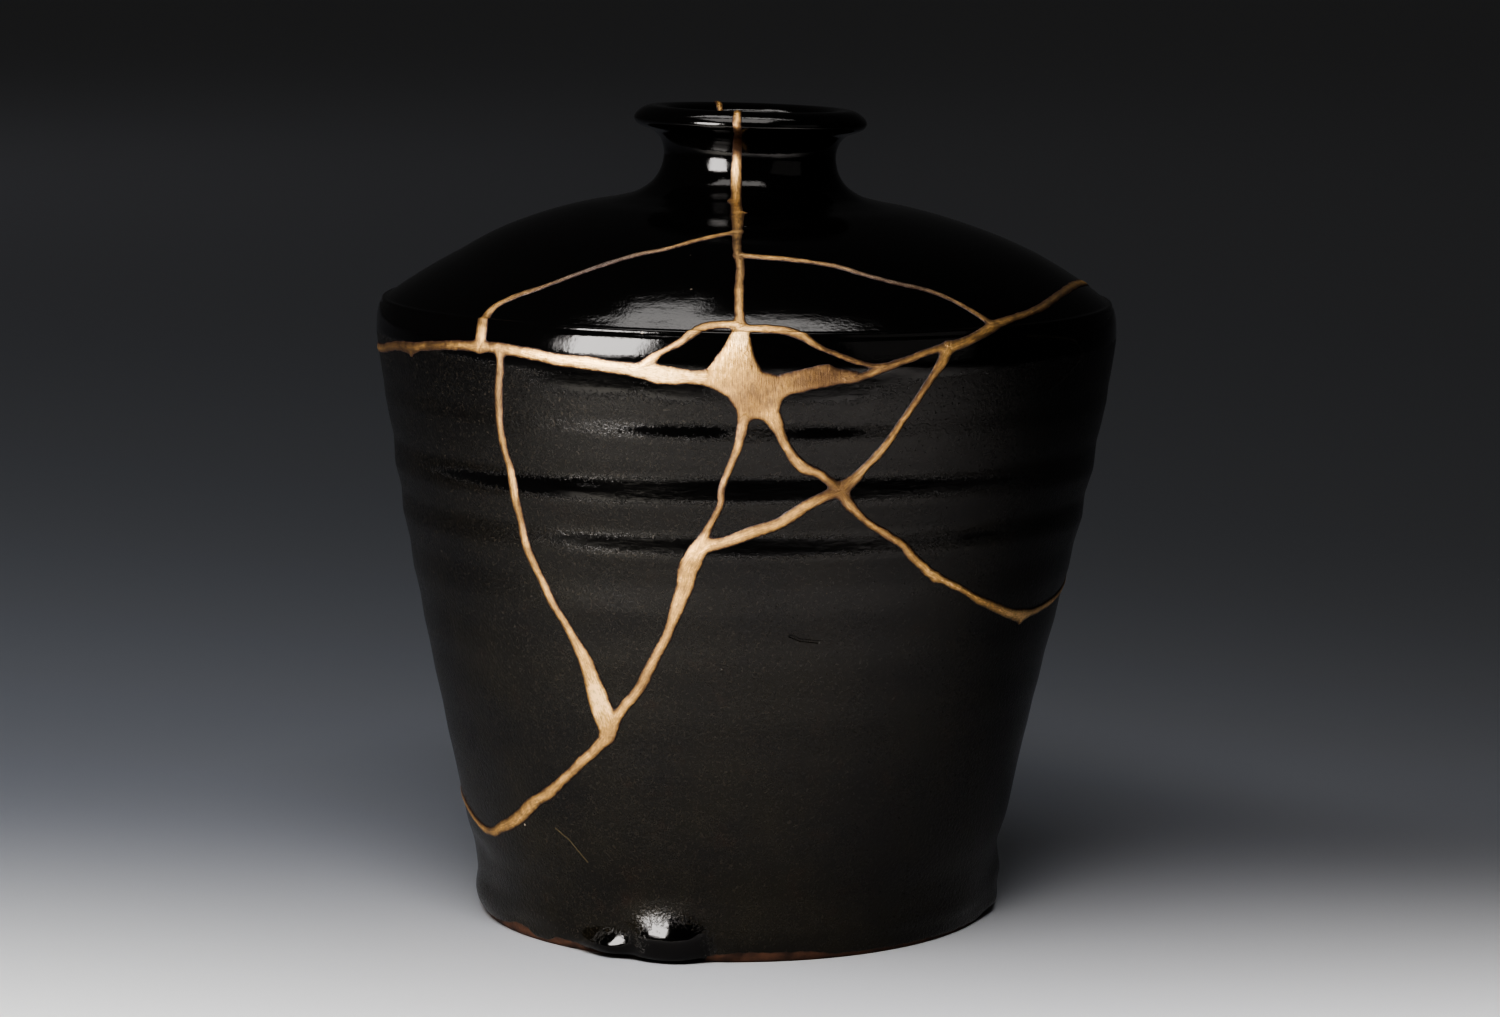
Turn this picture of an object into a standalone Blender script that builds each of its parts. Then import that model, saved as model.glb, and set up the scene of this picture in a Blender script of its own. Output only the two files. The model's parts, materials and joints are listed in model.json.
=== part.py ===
"""Kintsugi jar: a thrown stoneware jar with a black glaze, broken and mended with gilt lacquer.

Two pieces: the jar, a hollow vessel of true wall thickness, and the gilt lacquer let into its wall.
Metres in Blender, +Z up. The origin is the middle of the foot on the table, and -Y is the front.
"""
import bpy
import numpy as np
from mathutils import Vector, geometry

MM = 0.001

# The jar's outline, (radius, height) in millimetres, up the outside from the foot to the lip's crest.
JAR_HEIGHT = 270.0
NECK_RADIUS = 28.8
LIP_RADIUS = 38.9
EDGE_RADIUS = 123.8
EDGE_HEIGHT = 201.4
FOOT_RADIUS = 86.0
OUTSIDE = [
    (FOOT_RADIUS, 0.0), (88.0, 3.0), (88.6, 6.5), (87.9, 13.0), (89.0, 20.0), (91.4, 29.0),
    (95.6, 50.0), (99.9, 70.0), (104.3, 90.0), (108.4, 109.0), (112.4, 128.0), (116.2, 148.0),
    (119.6, 166.0), (122.3, 184.0), (EDGE_RADIUS, 197.0), (EDGE_RADIUS, EDGE_HEIGHT),
    (121.8, 205.4), (117.0, 209.4), (108.0, 215.5), (97.5, 221.6), (85.0, 227.9), (70.0, 233.4),
    (56.0, 237.2), (45.0, 239.3), (37.0, 241.7), (32.0, 245.5), (29.6, 249.6), (NECK_RADIUS, 253.0),
    (29.0, 256.6), (30.2, 259.6), (32.4, 261.7), (35.4, 262.9), (37.8, 264.0), (LIP_RADIUS, 265.7),
    (38.4, 267.5), (36.8, 268.9), (34.2, 269.8), (31.4, JAR_HEIGHT),
]

# The same for the inside, down the throat and the wall to the middle of the floor.
THROAT_RADIUS = 23.1
FLOOR_HEIGHT = 9.5
INSIDE = [
    (28.2, 269.3), (25.6, 267.2), (24.0, 264.0), (23.3, 259.5), (THROAT_RADIUS, 253.0), (24.0, 247.5),
    (27.5, 242.0), (33.0, 238.0), (44.0, 234.3), (56.0, 231.2), (69.0, 227.2), (82.0, 222.0),
    (94.0, 216.0), (104.0, 210.0), (111.5, 205.0), (116.0, 200.3), (117.4, 195.0), (115.8, 184.0),
    (106.0, 130.0), (97.8, 90.0), (89.0, 50.0), (84.5, 30.0), (82.5, 20.0), (79.0, 13.5),
    (70.0, 10.4), (40.0, FLOOR_HEIGHT), (0.0, FLOOR_HEIGHT),
]

# The clay settled to one side in the kiln: a lean towards +X in millimetres, and a tilt of each
# level in degrees, both at heights in millimetres.
LEAN = [(0, 0.0), (60, 0.1), (90, 0.6), (130, 2.1), (160, 3.0), (200, 3.5), (250, 4.5), (275, 5.0)]
TILT = [(0, 0.0), (20, 0.0), (200, 0.75), (212, 0.5), (222, 0.4), (230, 1.0), (238, 1.5), (250, 1.8)]

TURNS = 48                # sides of the turned jar
OUTSIDE_TOLERANCE = 0.35  # millimetres between the smooth outline and its straight runs
INSIDE_TOLERANCE = 0.6

# The mended cracks. Each point is (degrees round from the front, millimetres of tape up the wall
# from the foot, width of the gilt line). Past the lip's crest the tape runs on down the throat.
CRACKS = {
    "neck": [(-7.5, 363, 2.6), (-7.5, 345, 2.6), (-6.5, 337, 2.9), (-6.5, 332, 2.6),
             (-8.5, 322, 3.2), (-8.5, 316, 3.8), (-7, 306, 3.5), (-5.5, 298, 3.9), (-4, 290, 4.3),
             (-3.5, 283, 4.2), (-3, 272, 3.4), (-2.5, 258, 3.1), (-1.5, 246, 3), (-1.5, 235, 3.1),
             (-1, 214, 3.6)],
    "left_shoulder": [(-2.5, 271, 3.2), (-9, 266, 3.2), (-13, 262, 3), (-18, 256, 2.6),
                      (-24, 251, 2.6), (-31.5, 241.5, 2.6), (-38, 230, 2.7), (-41.5, 224.5, 3.2),
                      (-43.5, 219, 3.7), (-43.5, 214.5, 3.8), (-42.5, 208, 5), (-42.5, 203, 4.4)],
    "right_shoulder": [(-2, 253, 3.2), (8, 251, 3.2), (14, 248.5, 2.7), (17.5, 246.5, 2.8),
                       (22.5, 241, 2.4), (27.5, 236, 2.5), (32.5, 231.5, 2.4), (35.5, 226.5, 2.4),
                       (37.5, 221.5, 2.6), (40, 213.5, 3.2)],
    "left_band": [(-5.5, 197.5, 5), (-8, 197.5, 4.6), (-12, 198, 6.3), (-15.5, 199, 5),
                  (-18, 199.5, 4.1), (-23, 200.5, 4.4), (-28, 201, 4), (-32, 202, 3.9),
                  (-38, 203, 3.8), (-42, 203, 3.6), (-49.5, 202, 3.2), (-56, 200.5, 2.9),
                  (-60.5, 199, 3.8), (-66, 198.5, 3.1), (-74, 196, 3), (-81.5, 194.5, 3.2),
                  (-100, 192, 3.4), (-118, 196, 3.1), (-134, 203, 3.4), (-148, 208, 3.2),
                  (-160, 212, 3.6)],
    "right_band": [(14, 198, 4.2), (16, 197.5, 3), (19.5, 200, 2.8), (24, 203, 2.5),
                   (28, 205.5, 2.6), (31.5, 206.5, 3.4), (36.5, 209.5, 3), (40, 212.5, 4),
                   (45, 215, 3.1), (52, 217.5, 2.9), (60, 221, 3), (66, 223, 3.1),
                   (76, 224.5, 3.3), (88, 222.5, 3.3), (103, 216, 3.3), (117, 211, 3.1),
                   (128, 205, 3.2), (136, 196, 3.4), (140, 184, 3.4)],
    "left_arc": [(-1, 216, 3.5), (-3.5, 216, 3.7), (-6, 215, 4), (-7.5, 212.5, 3.8),
                 (-9.5, 208.5, 2.6), (-11.5, 206, 2.4), (-13.5, 203, 3), (-15.5, 199.5, 3.4)],
    "right_arc": [(-1, 214, 4), (2.5, 214, 4.4), (6, 213, 4.4), (8, 211, 3.4), (10, 208, 2.1),
                  (12.5, 205.5, 1.9), (16, 202.5, 1.7), (20, 200.5, 1.9)],
    "window_side": [(-38.5, 202.5, 3.6), (-38.5, 197.5, 3.5), (-39, 192, 3.6), (-39.5, 185, 3.6),
                    (-39.5, 173, 3.3), (-39, 166, 3.3), (-38, 157, 3.9), (-37.5, 147, 3.3),
                    (-36.5, 139, 3.7), (-35, 131, 3.4), (-32.5, 121.5, 3.3), (-30.5, 115, 3.3),
                    (-28.5, 108, 4.2), (-27, 102.5, 5.3), (-26, 96, 6.4), (-25, 89, 8.1),
                    (-24, 82.5, 7.6), (-24, 77, 4.6)],
    "long_leg": [(0, 187, 4), (-0.5, 181, 3.5), (-1, 176, 3), (-2.5, 167.5, 2.5),
                 (-3.5, 161.5, 2.5), (-3.5, 157.5, 2.3), (-5.5, 148.5, 2.8), (-6.5, 144, 4.4),
                 (-7.5, 139.5, 6.2), (-8.5, 135.5, 6.6), (-9, 130.5, 5.9), (-10.5, 121.5, 4.3),
                 (-11.5, 116, 3.5), (-12.5, 111.5, 3.5), (-15, 102.5, 3.8), (-16, 98.5, 3.8),
                 (-17.5, 94, 3.6), (-21, 86, 3.6), (-24, 77.5, 4.3), (-27.5, 71, 3.7),
                 (-30, 67.5, 3.7), (-32, 64, 3.5), (-36, 58.5, 3.7), (-39, 54.5, 4.4),
                 (-41.5, 52, 4), (-44, 49.5, 4.8), (-47.5, 45, 4.7), (-51.5, 41, 4.4),
                 (-56, 38, 3.8), (-60, 35, 3.2), (-65, 34.5, 2.9), (-71, 36.5, 2.7),
                 (-78, 39.5, 2.8)],
    "short_leg": [(4, 185, 5), (5, 180.5, 3.8), (6, 176, 3), (7.5, 171.5, 3.8), (9, 168.5, 4),
                  (11, 167, 3), (13, 164, 3.2), (14.5, 161.5, 3.8)],
    "cross_left": [(14.5, 161.5, 4.1), (12, 159.5, 3.6), (9.5, 157, 3.8), (7.5, 154, 4.3),
                   (5.5, 151, 4.1), (1.5, 148, 4.4), (-3, 144.5, 3.6), (-5.5, 143.5, 4.6),
                   (-7.5, 141, 5)],
    "cross_up": [(30.5, 206, 4.3), (29.5, 202, 3.8), (28, 197.5, 3.1), (25.5, 189.5, 2.6),
                 (23, 181.5, 2.6), (20, 172.5, 3.1), (18.5, 169, 3), (17, 165.5, 3.6),
                 (15, 162, 4.2)],
    "cross_down": [(14.5, 161.5, 4), (16, 157, 3.6), (17.5, 154, 2.8), (19.5, 150.5, 2.5),
                   (23.5, 145.5, 2.9), (26, 142.5, 2.9), (27.5, 139, 3.3), (30, 135, 3),
                   (31.5, 132.5, 3.4), (34, 130, 2.8), (40, 124.5, 2.6), (44, 120.5, 3.1),
                   (48, 117.5, 3.3), (53, 114, 3.6), (57.5, 112, 4.8), (61, 112, 3.2),
                   (68, 112.5, 2.8), (77, 114, 2.8), (90, 117.5, 3), (105, 127, 3.2),
                   (119, 141, 3.4), (130, 158, 3.2), (137, 172, 3.2), (140, 184, 3.4)],
    "back": [(-154, 363, 2.4), (-156.5, 352, 2.4), (-159.5, 345, 2.5), (-160.5, 334, 2.6),
             (-163, 318, 3), (-160, 300, 3.2), (-158, 280, 3.2), (-160, 255, 3.1),
             (-162, 235, 3.2), (-160, 212, 3.6), (-156, 190, 3.2), (-149, 166, 3.4),
             (-144, 142, 3.1), (-136, 114, 3.3), (-124, 88, 3.2), (-109, 60, 3.4), (-95, 44, 3.1), (-85, 40.5, 2.9),
             (-78, 39.5, 2.8)],
}

# Where a sherd was lost under the shoulder, the lacquer fills a star: (degrees, tape) round its rim.
STAR = [
    (-2, 214), (-2.4, 211.5), (-3.5, 207), (-4.8, 202.5), (-6.2, 198), (-6.2, 195.2), (-4, 193.1),
    (-2.6, 191.2), (-1.5, 188.1), (-1, 184.4), (0.6, 184.4), (1.8, 184.6), (2.8, 183.9), (4.2, 181.3),
    (5.6, 182.6), (4.9, 187), (5.3, 190.5), (6.5, 192.4), (10.9, 194.5), (16, 196.5), (16, 199.4),
    (14.2, 199.6), (12, 202), (10.5, 201.8), (6.9, 199.9), (4.5, 198.8), (2.4, 199.8), (1.5, 203.3),
    (0.8, 207.9), (0.4, 214),
]

BODY_STEP = 12.0         # tape length of one straight run of a gilt line on the body
LIP_STEP = 2.5           # and where it climbs the neck and goes over the lip
LIP_STARTS = 322.0       # tape reading where the neck turns into the lip
PROUD = 0.4              # how far the gilt stands above the glaze
DEPTH = 1.2              # how far the lacquer reaches into the wall
SIDE_GAP = 0.3           # clearance left beside the lacquer in its groove
FLOOR_GAP = 0.5          # and under it
CUT_ABOVE = 1.2          # how far the groove's cutter stands out of the wall
BEND_LINES = (199.0, 202.0, 205.0, 208.0, 211.0)   # tape readings where the gilt bends over the shoulder
STAR_LINES = (-3.0, 0.0, 3.0, 8.0, 12.0)           # degrees where the star bends round the jar
WELD = 0.05              # corners closer than this are joined
CHART_RADIUS = 120.0     # radius on which the wall is unrolled to join the gilt lines
SLOPE_REACH = 0.5        # tape on each side of a point that its slope is read from
SHARP_ANGLE = np.radians(40.0)


def clear_scene():
    for item in list(bpy.data.objects):
        bpy.data.objects.remove(item, do_unlink=True)


def new_collection(name):
    group = bpy.data.collections.new(name)
    bpy.context.scene.collection.children.link(group)
    return group


def smooth_curve(points, pieces=12):
    """A centripetal Catmull-Rom curve through the points, with this many pieces in each span."""
    pts = np.asarray(points, float)
    ends = np.vstack([2 * pts[0] - pts[1], pts, 2 * pts[-1] - pts[-2]])
    spans = []
    for i in range(1, len(ends) - 2):
        p0, p1, p2, p3 = ends[i - 1:i + 3]
        t0 = 0.0
        t1 = t0 + np.linalg.norm(p1 - p0) ** 0.5
        t2 = t1 + np.linalg.norm(p2 - p1) ** 0.5
        t3 = t2 + np.linalg.norm(p3 - p2) ** 0.5
        t = np.linspace(t1, t2, pieces, endpoint=False)[:, None]
        a1 = ((t1 - t) * p0 + (t - t0) * p1) / (t1 - t0)
        a2 = ((t2 - t) * p1 + (t - t1) * p2) / (t2 - t1)
        a3 = ((t3 - t) * p2 + (t - t2) * p3) / (t3 - t2)
        b1 = ((t2 - t) * a1 + (t - t0) * a2) / (t2 - t0)
        b2 = ((t3 - t) * a2 + (t - t1) * a3) / (t3 - t1)
        spans.append(((t2 - t) * b1 + (t - t1) * b2) / (t2 - t1))
    return np.vstack(spans + [pts[-1:]])


def thin_out(points, tolerance):
    """Keep only the points that hold a polyline within the tolerance of its full shape."""
    if len(points) < 3:
        return points
    start, end = points[0], points[-1]
    run = end - start
    away = points - start
    off = np.abs(away[:, 0] * run[1] - away[:, 1] * run[0]) / np.linalg.norm(run)
    worst = int(np.argmax(off))
    if off[worst] <= tolerance:
        return np.vstack([start, end])
    before = thin_out(points[:worst + 1], tolerance)
    after = thin_out(points[worst:], tolerance)
    return np.vstack([before[:-1], after])


OUTLINE = smooth_curve(OUTSIDE + INSIDE)
TAPE = np.concatenate([[0.0], np.cumsum(np.linalg.norm(np.diff(OUTLINE, axis=0), axis=1))])


def settle(points):
    """Lean and tilt the levels of the wall, for points in millimetres; the foot stays flat."""
    x, y, z = points[:, 0], points[:, 1], points[:, 2]
    lean = np.interp(z, *zip(*LEAN))
    tilt = np.radians(np.interp(z, *zip(*TILT)))
    return np.stack([x + lean, y, z - x * np.tan(tilt)], axis=1)


def on_wall(degrees, tape, out):
    """Points on the jar's surface, moved out along its normal, in millimetres."""
    angle = np.radians(degrees)
    radius = np.interp(tape, TAPE, OUTLINE[:, 0])
    height = np.interp(tape, TAPE, OUTLINE[:, 1])
    above, below = tape + SLOPE_REACH, tape - SLOPE_REACH
    along = np.stack([np.interp(above, TAPE, row) - np.interp(below, TAPE, row) for row in OUTLINE.T])
    along /= np.linalg.norm(along, axis=0)
    radius = radius + out * along[1]
    height = height - out * along[0]
    return settle(np.stack([radius * np.sin(angle), -radius * np.cos(angle), height], axis=1))


def glaze_material():
    material = bpy.data.materials.new("black_glaze")
    material.use_nodes = True
    shader = material.node_tree.nodes["Principled BSDF"]
    shader.inputs["Base Color"].default_value = (0.012, 0.011, 0.009, 1.0)
    shader.inputs["Roughness"].default_value = 0.18
    shader.inputs["Coat Weight"].default_value = 0.5
    return material


def gold_material():
    material = bpy.data.materials.new("gold_over_lacquer")
    material.use_nodes = True
    shader = material.node_tree.nodes["Principled BSDF"]
    shader.inputs["Base Color"].default_value = (0.74, 0.52, 0.27, 1.0)
    shader.inputs["Metallic"].default_value = 0.85
    shader.inputs["Roughness"].default_value = 0.42
    return material


def turned_jar(group):
    """The jar's whole profile, from the middle of the floor out over the lip and down to the foot."""
    crest = len(smooth_curve(OUTSIDE)) - 1
    outside = thin_out(OUTLINE[:crest + 1], OUTSIDE_TOLERANCE)
    inside = thin_out(OUTLINE[crest:], INSIDE_TOLERANCE)
    profile = np.vstack([inside[::-1], outside[::-1][1:], [[0.0, 0.0]]])
    mesh = bpy.data.meshes.new("jar_profile")
    corners = [(radius * MM, 0.0, height * MM) for radius, height in profile]
    mesh.from_pydata(corners, [(i, i + 1) for i in range(len(corners) - 1)], [])
    lathe = bpy.data.objects.new("jar_lathe", mesh)
    group.objects.link(lathe)
    screw = lathe.modifiers.new("turn", "SCREW")
    screw.steps = TURNS
    screw.render_steps = TURNS
    screw.use_merge_vertices = True
    screw.merge_threshold = 0.00005
    bpy.context.view_layer.update()
    turned = bpy.data.meshes.new_from_object(lathe.evaluated_get(bpy.context.evaluated_depsgraph_get()))
    bpy.data.objects.remove(lathe, do_unlink=True)
    turned.name = "jar"
    points = np.empty(len(turned.vertices) * 3)
    turned.vertices.foreach_get("co", points)
    settled = settle(points.reshape(-1, 3) / MM) * MM
    turned.vertices.foreach_set("co", settled.ravel())
    turned.shade_smooth()
    turned.set_sharp_from_angle(angle=SHARP_ANGLE)
    turned.materials.append(glaze_material())
    jar = bpy.data.objects.new("jar", turned)
    group.objects.link(jar)
    return jar


def beyond(at, length, values):
    """Read values along a line, carried on straight past its two ends."""
    first = (values[1] - values[0]) / (length[1] - length[0])
    last = (values[-1] - values[-2]) / (length[-1] - length[-2])
    inner = np.interp(at, length, values)
    return inner + np.minimum(at, 0.0) * first + np.maximum(at - length[-1], 0.0) * last


def ribbon(route, extra):
    """The two sides of a gilt line, as (chart x, tape) pairs, widened by extra on each side."""
    fine = smooth_curve(route)
    radius = np.interp(fine[:, 1], TAPE, OUTLINE[:, 0])
    steps = np.diff(fine[:, :2], axis=0)
    middle = 0.5 * (radius[1:] + radius[:-1])
    length = np.concatenate([[0.0], np.cumsum(np.hypot(np.radians(steps[:, 0]) * middle, steps[:, 1]))])
    stride = np.where(fine[:, 1] > LIP_STARTS, LIP_STEP, BODY_STEP)
    count = np.concatenate([[0.0], np.cumsum(np.diff(length) / stride[1:])])
    total = max(2, int(round(count[-1])))
    at = np.interp(np.linspace(0.0, count[-1], total + 1), count, length)
    at[0] -= 2.0 * extra
    at[-1] += 2.0 * extra
    degrees, tape, width, here = (beyond(at, length, row) for row in (*fine.T, radius))
    across = np.gradient(np.radians(degrees)) * here
    along = np.gradient(tape)
    size = np.hypot(across, along)
    half = width / 2 + extra
    turn_x, turn_y = -along / size * half, across / size * half
    sides = []
    for sign in (1.0, -1.0):
        chart_x = (np.radians(degrees) + sign * turn_x / here) * CHART_RADIUS
        sides.append(np.stack([chart_x, tape + sign * turn_y], axis=1))
    return sides


def grown_star(extra):
    """The star's rim, moved out by extra, as (chart x, tape) pairs."""
    rim = np.array(STAR, float)
    rim[:, 0] = np.radians(rim[:, 0]) * CHART_RADIUS
    before = np.roll(rim, 1, axis=0)
    after = np.roll(rim, -1, axis=0)
    into = (rim - before) / np.linalg.norm(rim - before, axis=1)[:, None]
    away = (after - rim) / np.linalg.norm(after - rim, axis=1)[:, None]
    normal = np.stack([-(into + away)[:, 1], (into + away)[:, 0]], axis=1)
    normal /= np.linalg.norm(normal, axis=1)[:, None]
    square = np.stack([-into[:, 1], into[:, 0]], axis=1)
    miter = np.maximum((normal * square).sum(axis=1), 0.5)
    return rim - normal * (extra / miter)[:, None]


def gilt_chart(extra):
    """Join all the gilt lines and the star into one flat sheet of triangles on the unrolled wall."""
    points, edges, faces = [], [], []
    for route in CRACKS.values():
        left, right = ribbon(route, extra)
        for i in range(len(left) - 1):
            first = len(points)
            points += [right[i], right[i + 1], left[i + 1], left[i]]
            faces.append([first, first + 1, first + 2, first + 3])
    rim = grown_star(extra)
    faces.append(list(range(len(points), len(points) + len(rim))))
    points += list(rim)
    low, high = np.min(rim, axis=0), np.max(rim, axis=0)
    rules = [((-CHART_RADIUS * np.pi, tape), (CHART_RADIUS * np.pi, tape)) for tape in BEND_LINES]
    rules += [((x, low[1]), (x, high[1])) for x in np.radians(STAR_LINES) * CHART_RADIUS]
    for start, end in rules:
        edges.append((len(points), len(points) + 1))
        points += [start, end]
    corners, _, triangles, _, _, sources = geometry.delaunay_2d_cdt(
        [Vector((float(x), float(y))) for x, y in points], edges, faces, 0, WELD)
    kept = [tri for tri, source in zip(triangles, sources) if source]
    used = sorted({corner for tri in kept for corner in tri})
    index = {corner: i for i, corner in enumerate(used)}
    flat = np.array([corners[corner][:] for corner in used])
    return flat, [[index[corner] for corner in tri] for tri in kept]


def gilt_solid(name, group, extra, out, thickness):
    """The flat gilt chart given its thickness, then wrapped round the wall with its face out."""
    flat, triangles = gilt_chart(extra)
    mesh = bpy.data.meshes.new(name + "_chart")
    mesh.from_pydata([(x, tape, 0.0) for x, tape in flat], [], triangles)
    sheet = bpy.data.objects.new(name + "_chart", mesh)
    group.objects.link(sheet)
    solid = sheet.modifiers.new("thickness", "SOLIDIFY")
    solid.thickness = thickness
    solid.offset = -1.0
    bpy.context.view_layer.update()
    wrapped = bpy.data.meshes.new_from_object(sheet.evaluated_get(bpy.context.evaluated_depsgraph_get()))
    bpy.data.objects.remove(sheet, do_unlink=True)
    wrapped.name = name
    points = np.empty(len(wrapped.vertices) * 3)
    wrapped.vertices.foreach_get("co", points)
    x, tape, depth = points.reshape(-1, 3).T
    laid = on_wall(np.degrees(x / CHART_RADIUS), tape, out + depth) * MM
    wrapped.vertices.foreach_set("co", laid.ravel())
    wrapped.shade_smooth()
    wrapped.set_sharp_from_angle(angle=SHARP_ANGLE)
    gilt = bpy.data.objects.new(name, wrapped)
    group.objects.link(gilt)
    return gilt


def cut_grooves(jar, cutters):
    cutter = gilt_solid("groove_cutter", cutters, SIDE_GAP, CUT_ABOVE, CUT_ABOVE + DEPTH + FLOOR_GAP)
    cutter.hide_render = True
    cutter.display_type = "WIRE"
    groove = jar.modifiers.new("grooves", "BOOLEAN")
    groove.operation = "DIFFERENCE"
    groove.solver = "EXACT"
    groove.object = cutter


def build():
    clear_scene()
    parts = new_collection("kintsugi_jar")
    cutters = new_collection("cutters")
    jar = turned_jar(parts)
    cut_grooves(jar, cutters)
    seams = gilt_solid("gold_seams", parts, 0.0, PROUD, PROUD + DEPTH)
    seams.data.materials.append(gold_material())


build()
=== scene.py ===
import json
import math
import bpy
import numpy as np
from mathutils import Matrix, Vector

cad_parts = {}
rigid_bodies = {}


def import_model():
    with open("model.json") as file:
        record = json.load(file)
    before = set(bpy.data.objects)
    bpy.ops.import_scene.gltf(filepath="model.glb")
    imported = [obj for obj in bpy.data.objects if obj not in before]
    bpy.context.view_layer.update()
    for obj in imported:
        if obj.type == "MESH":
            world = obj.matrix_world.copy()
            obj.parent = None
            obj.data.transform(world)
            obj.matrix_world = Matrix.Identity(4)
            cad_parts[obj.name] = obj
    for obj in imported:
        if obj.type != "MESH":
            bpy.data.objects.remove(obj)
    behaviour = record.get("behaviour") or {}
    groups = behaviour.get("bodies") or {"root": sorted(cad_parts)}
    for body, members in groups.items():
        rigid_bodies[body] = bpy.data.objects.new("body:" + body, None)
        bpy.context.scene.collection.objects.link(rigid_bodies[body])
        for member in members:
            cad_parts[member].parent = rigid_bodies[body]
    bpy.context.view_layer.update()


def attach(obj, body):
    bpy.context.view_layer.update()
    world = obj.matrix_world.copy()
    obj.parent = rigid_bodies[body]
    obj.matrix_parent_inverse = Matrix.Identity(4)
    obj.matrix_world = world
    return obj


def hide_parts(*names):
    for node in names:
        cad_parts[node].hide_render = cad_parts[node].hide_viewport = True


# A thrown stoneware jar with a black glaze, broken and mended with gilt lacquer.
# Lengths in the dictionaries are millimetres; the meshes are in metres. -Y is the front.
# A place on the wall is (degrees round from the front, tape up the outline from the foot).

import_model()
mm = 0.001


jarShape = {
    "outside": [
        (86.0, 0.0), (88.0, 3.0), (88.6, 6.5), (87.9, 13.0), (89.0, 20.0), (91.4, 29.0),
        (95.6, 50.0), (99.9, 70.0), (104.3, 90.0), (108.4, 109.0), (112.4, 128.0), (116.2, 148.0),
        (119.6, 166.0), (122.3, 184.0), (123.8, 197.0), (123.8, 201.4), (121.8, 205.4),
        (117.0, 209.4), (108.0, 215.5), (97.5, 221.6), (85.0, 227.9), (70.0, 233.4), (56.0, 237.2),
        (45.0, 239.3), (37.0, 241.7), (32.0, 245.5), (29.6, 249.6), (28.8, 253.0), (29.0, 256.6),
        (30.2, 259.6), (32.4, 261.7), (35.4, 262.9), (37.8, 264.0), (38.9, 265.7), (38.4, 267.5),
        (36.8, 268.9), (34.2, 269.8), (31.4, 270.0),
    ],
    "inside": [
        (28.2, 269.3), (25.6, 267.2), (24.0, 264.0), (23.3, 259.5), (23.1, 253.0), (24.0, 247.5),
        (27.5, 242.0), (33.0, 238.0), (44.0, 234.3), (56.0, 231.2), (69.0, 227.2), (82.0, 222.0),
        (94.0, 216.0), (104.0, 210.0), (111.5, 205.0), (116.0, 200.3), (117.4, 195.0),
        (115.8, 184.0), (106.0, 130.0), (97.8, 90.0), (89.0, 50.0), (84.5, 30.0), (82.5, 20.0),
        (79.0, 13.5), (70.0, 10.4), (40.0, 9.5), (0.0, 9.5),
    ],
    "lean": [(0, 0.0), (60, 0.1), (90, 0.6), (130, 2.1), (160, 3.0), (200, 3.5), (250, 4.5), (275, 5.0)],
    "tilt": [(0, 0.0), (20, 0.0), (200, 0.75), (212, 0.5), (222, 0.4), (230, 1.0), (238, 1.5), (250, 1.8)],
    "fineness": 24,          # pieces that each span of the outline is cut into
}


# A centripetal Catmull-Rom curve: each span blends the lines through its four nearest points
# by knots spaced as the square root of the distance between them.
def smoothCurve(points, pieces):
    pts = np.asarray(points, float)
    ends = np.vstack([2 * pts[0] - pts[1], pts, 2 * pts[-1] - pts[-2]])
    spans = []
    for i in range(1, len(ends) - 2):
        p0, p1, p2, p3 = ends[i - 1:i + 3]
        t0 = 0.0
        t1 = t0 + np.linalg.norm(p1 - p0) ** 0.5
        t2 = t1 + np.linalg.norm(p2 - p1) ** 0.5
        t3 = t2 + np.linalg.norm(p3 - p2) ** 0.5
        t = np.linspace(t1, t2, pieces, endpoint=False)[:, None]
        a1 = ((t1 - t) * p0 + (t - t0) * p1) / (t1 - t0)
        a2 = ((t2 - t) * p1 + (t - t1) * p2) / (t2 - t1)
        a3 = ((t3 - t) * p2 + (t - t2) * p3) / (t3 - t2)
        b1 = ((t2 - t) * a1 + (t - t0) * a2) / (t2 - t0)
        b2 = ((t3 - t) * a2 + (t - t1) * a3) / (t3 - t1)
        spans.append(((t2 - t) * b1 + (t - t1) * b2) / (t2 - t1))
    return np.vstack(spans + [pts[-1:]])


outline = smoothCurve(jarShape["outside"] + jarShape["inside"], jarShape["fineness"])
tapeAlong = np.concatenate([[0.0], np.cumsum(np.linalg.norm(np.diff(outline, axis=0), axis=1))])
outlineSlope = np.gradient(outline, tapeAlong, axis=0)
outlineSlope /= np.linalg.norm(outlineSlope, axis=1)[:, None]
crestTape = tapeAlong[jarShape["fineness"] * (len(jarShape["outside"]) - 1)]


# Lean adds a sideways step to each level, and tilt tips the level about the jar's axis.
def settle(x, y, z):
    lean = np.interp(z, *zip(*jarShape["lean"]))
    tilt = np.radians(np.interp(z, *zip(*jarShape["tilt"])))
    return np.stack([x + lean, y, z - x * np.tan(tilt)], axis=-1)


# The outline turned about the axis, moved out along its own normal, then settled.
def onWall(angle, tape, out):
    radius = np.interp(tape, tapeAlong, outline[:, 0]) + out * np.interp(tape, tapeAlong, outlineSlope[:, 1])
    height = np.interp(tape, tapeAlong, outline[:, 1]) - out * np.interp(tape, tapeAlong, outlineSlope[:, 0])
    return settle(radius * np.sin(angle), -radius * np.cos(angle), height)


# Nought up to low, one from high on, and three squares less two cubes of the share between them.
def smoothStep(low, high, value):
    t = np.clip((value - low) / (high - low), 0.0, 1.0)
    return t * t * (3.0 - 2.0 * t)


# A course round the jar from -180 degrees, closed with its first values at 180; one row for each value.
def closedCourse(course):
    return np.array(course + [(180.0, *course[0][1:])], float).T


# One at the middle, falling as the exponential of minus the squared shares of both half widths.
def bell(turn, rise, wide, tall):
    return np.exp(-(turn / wide) ** 2 - (rise / tall) ** 2)


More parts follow.
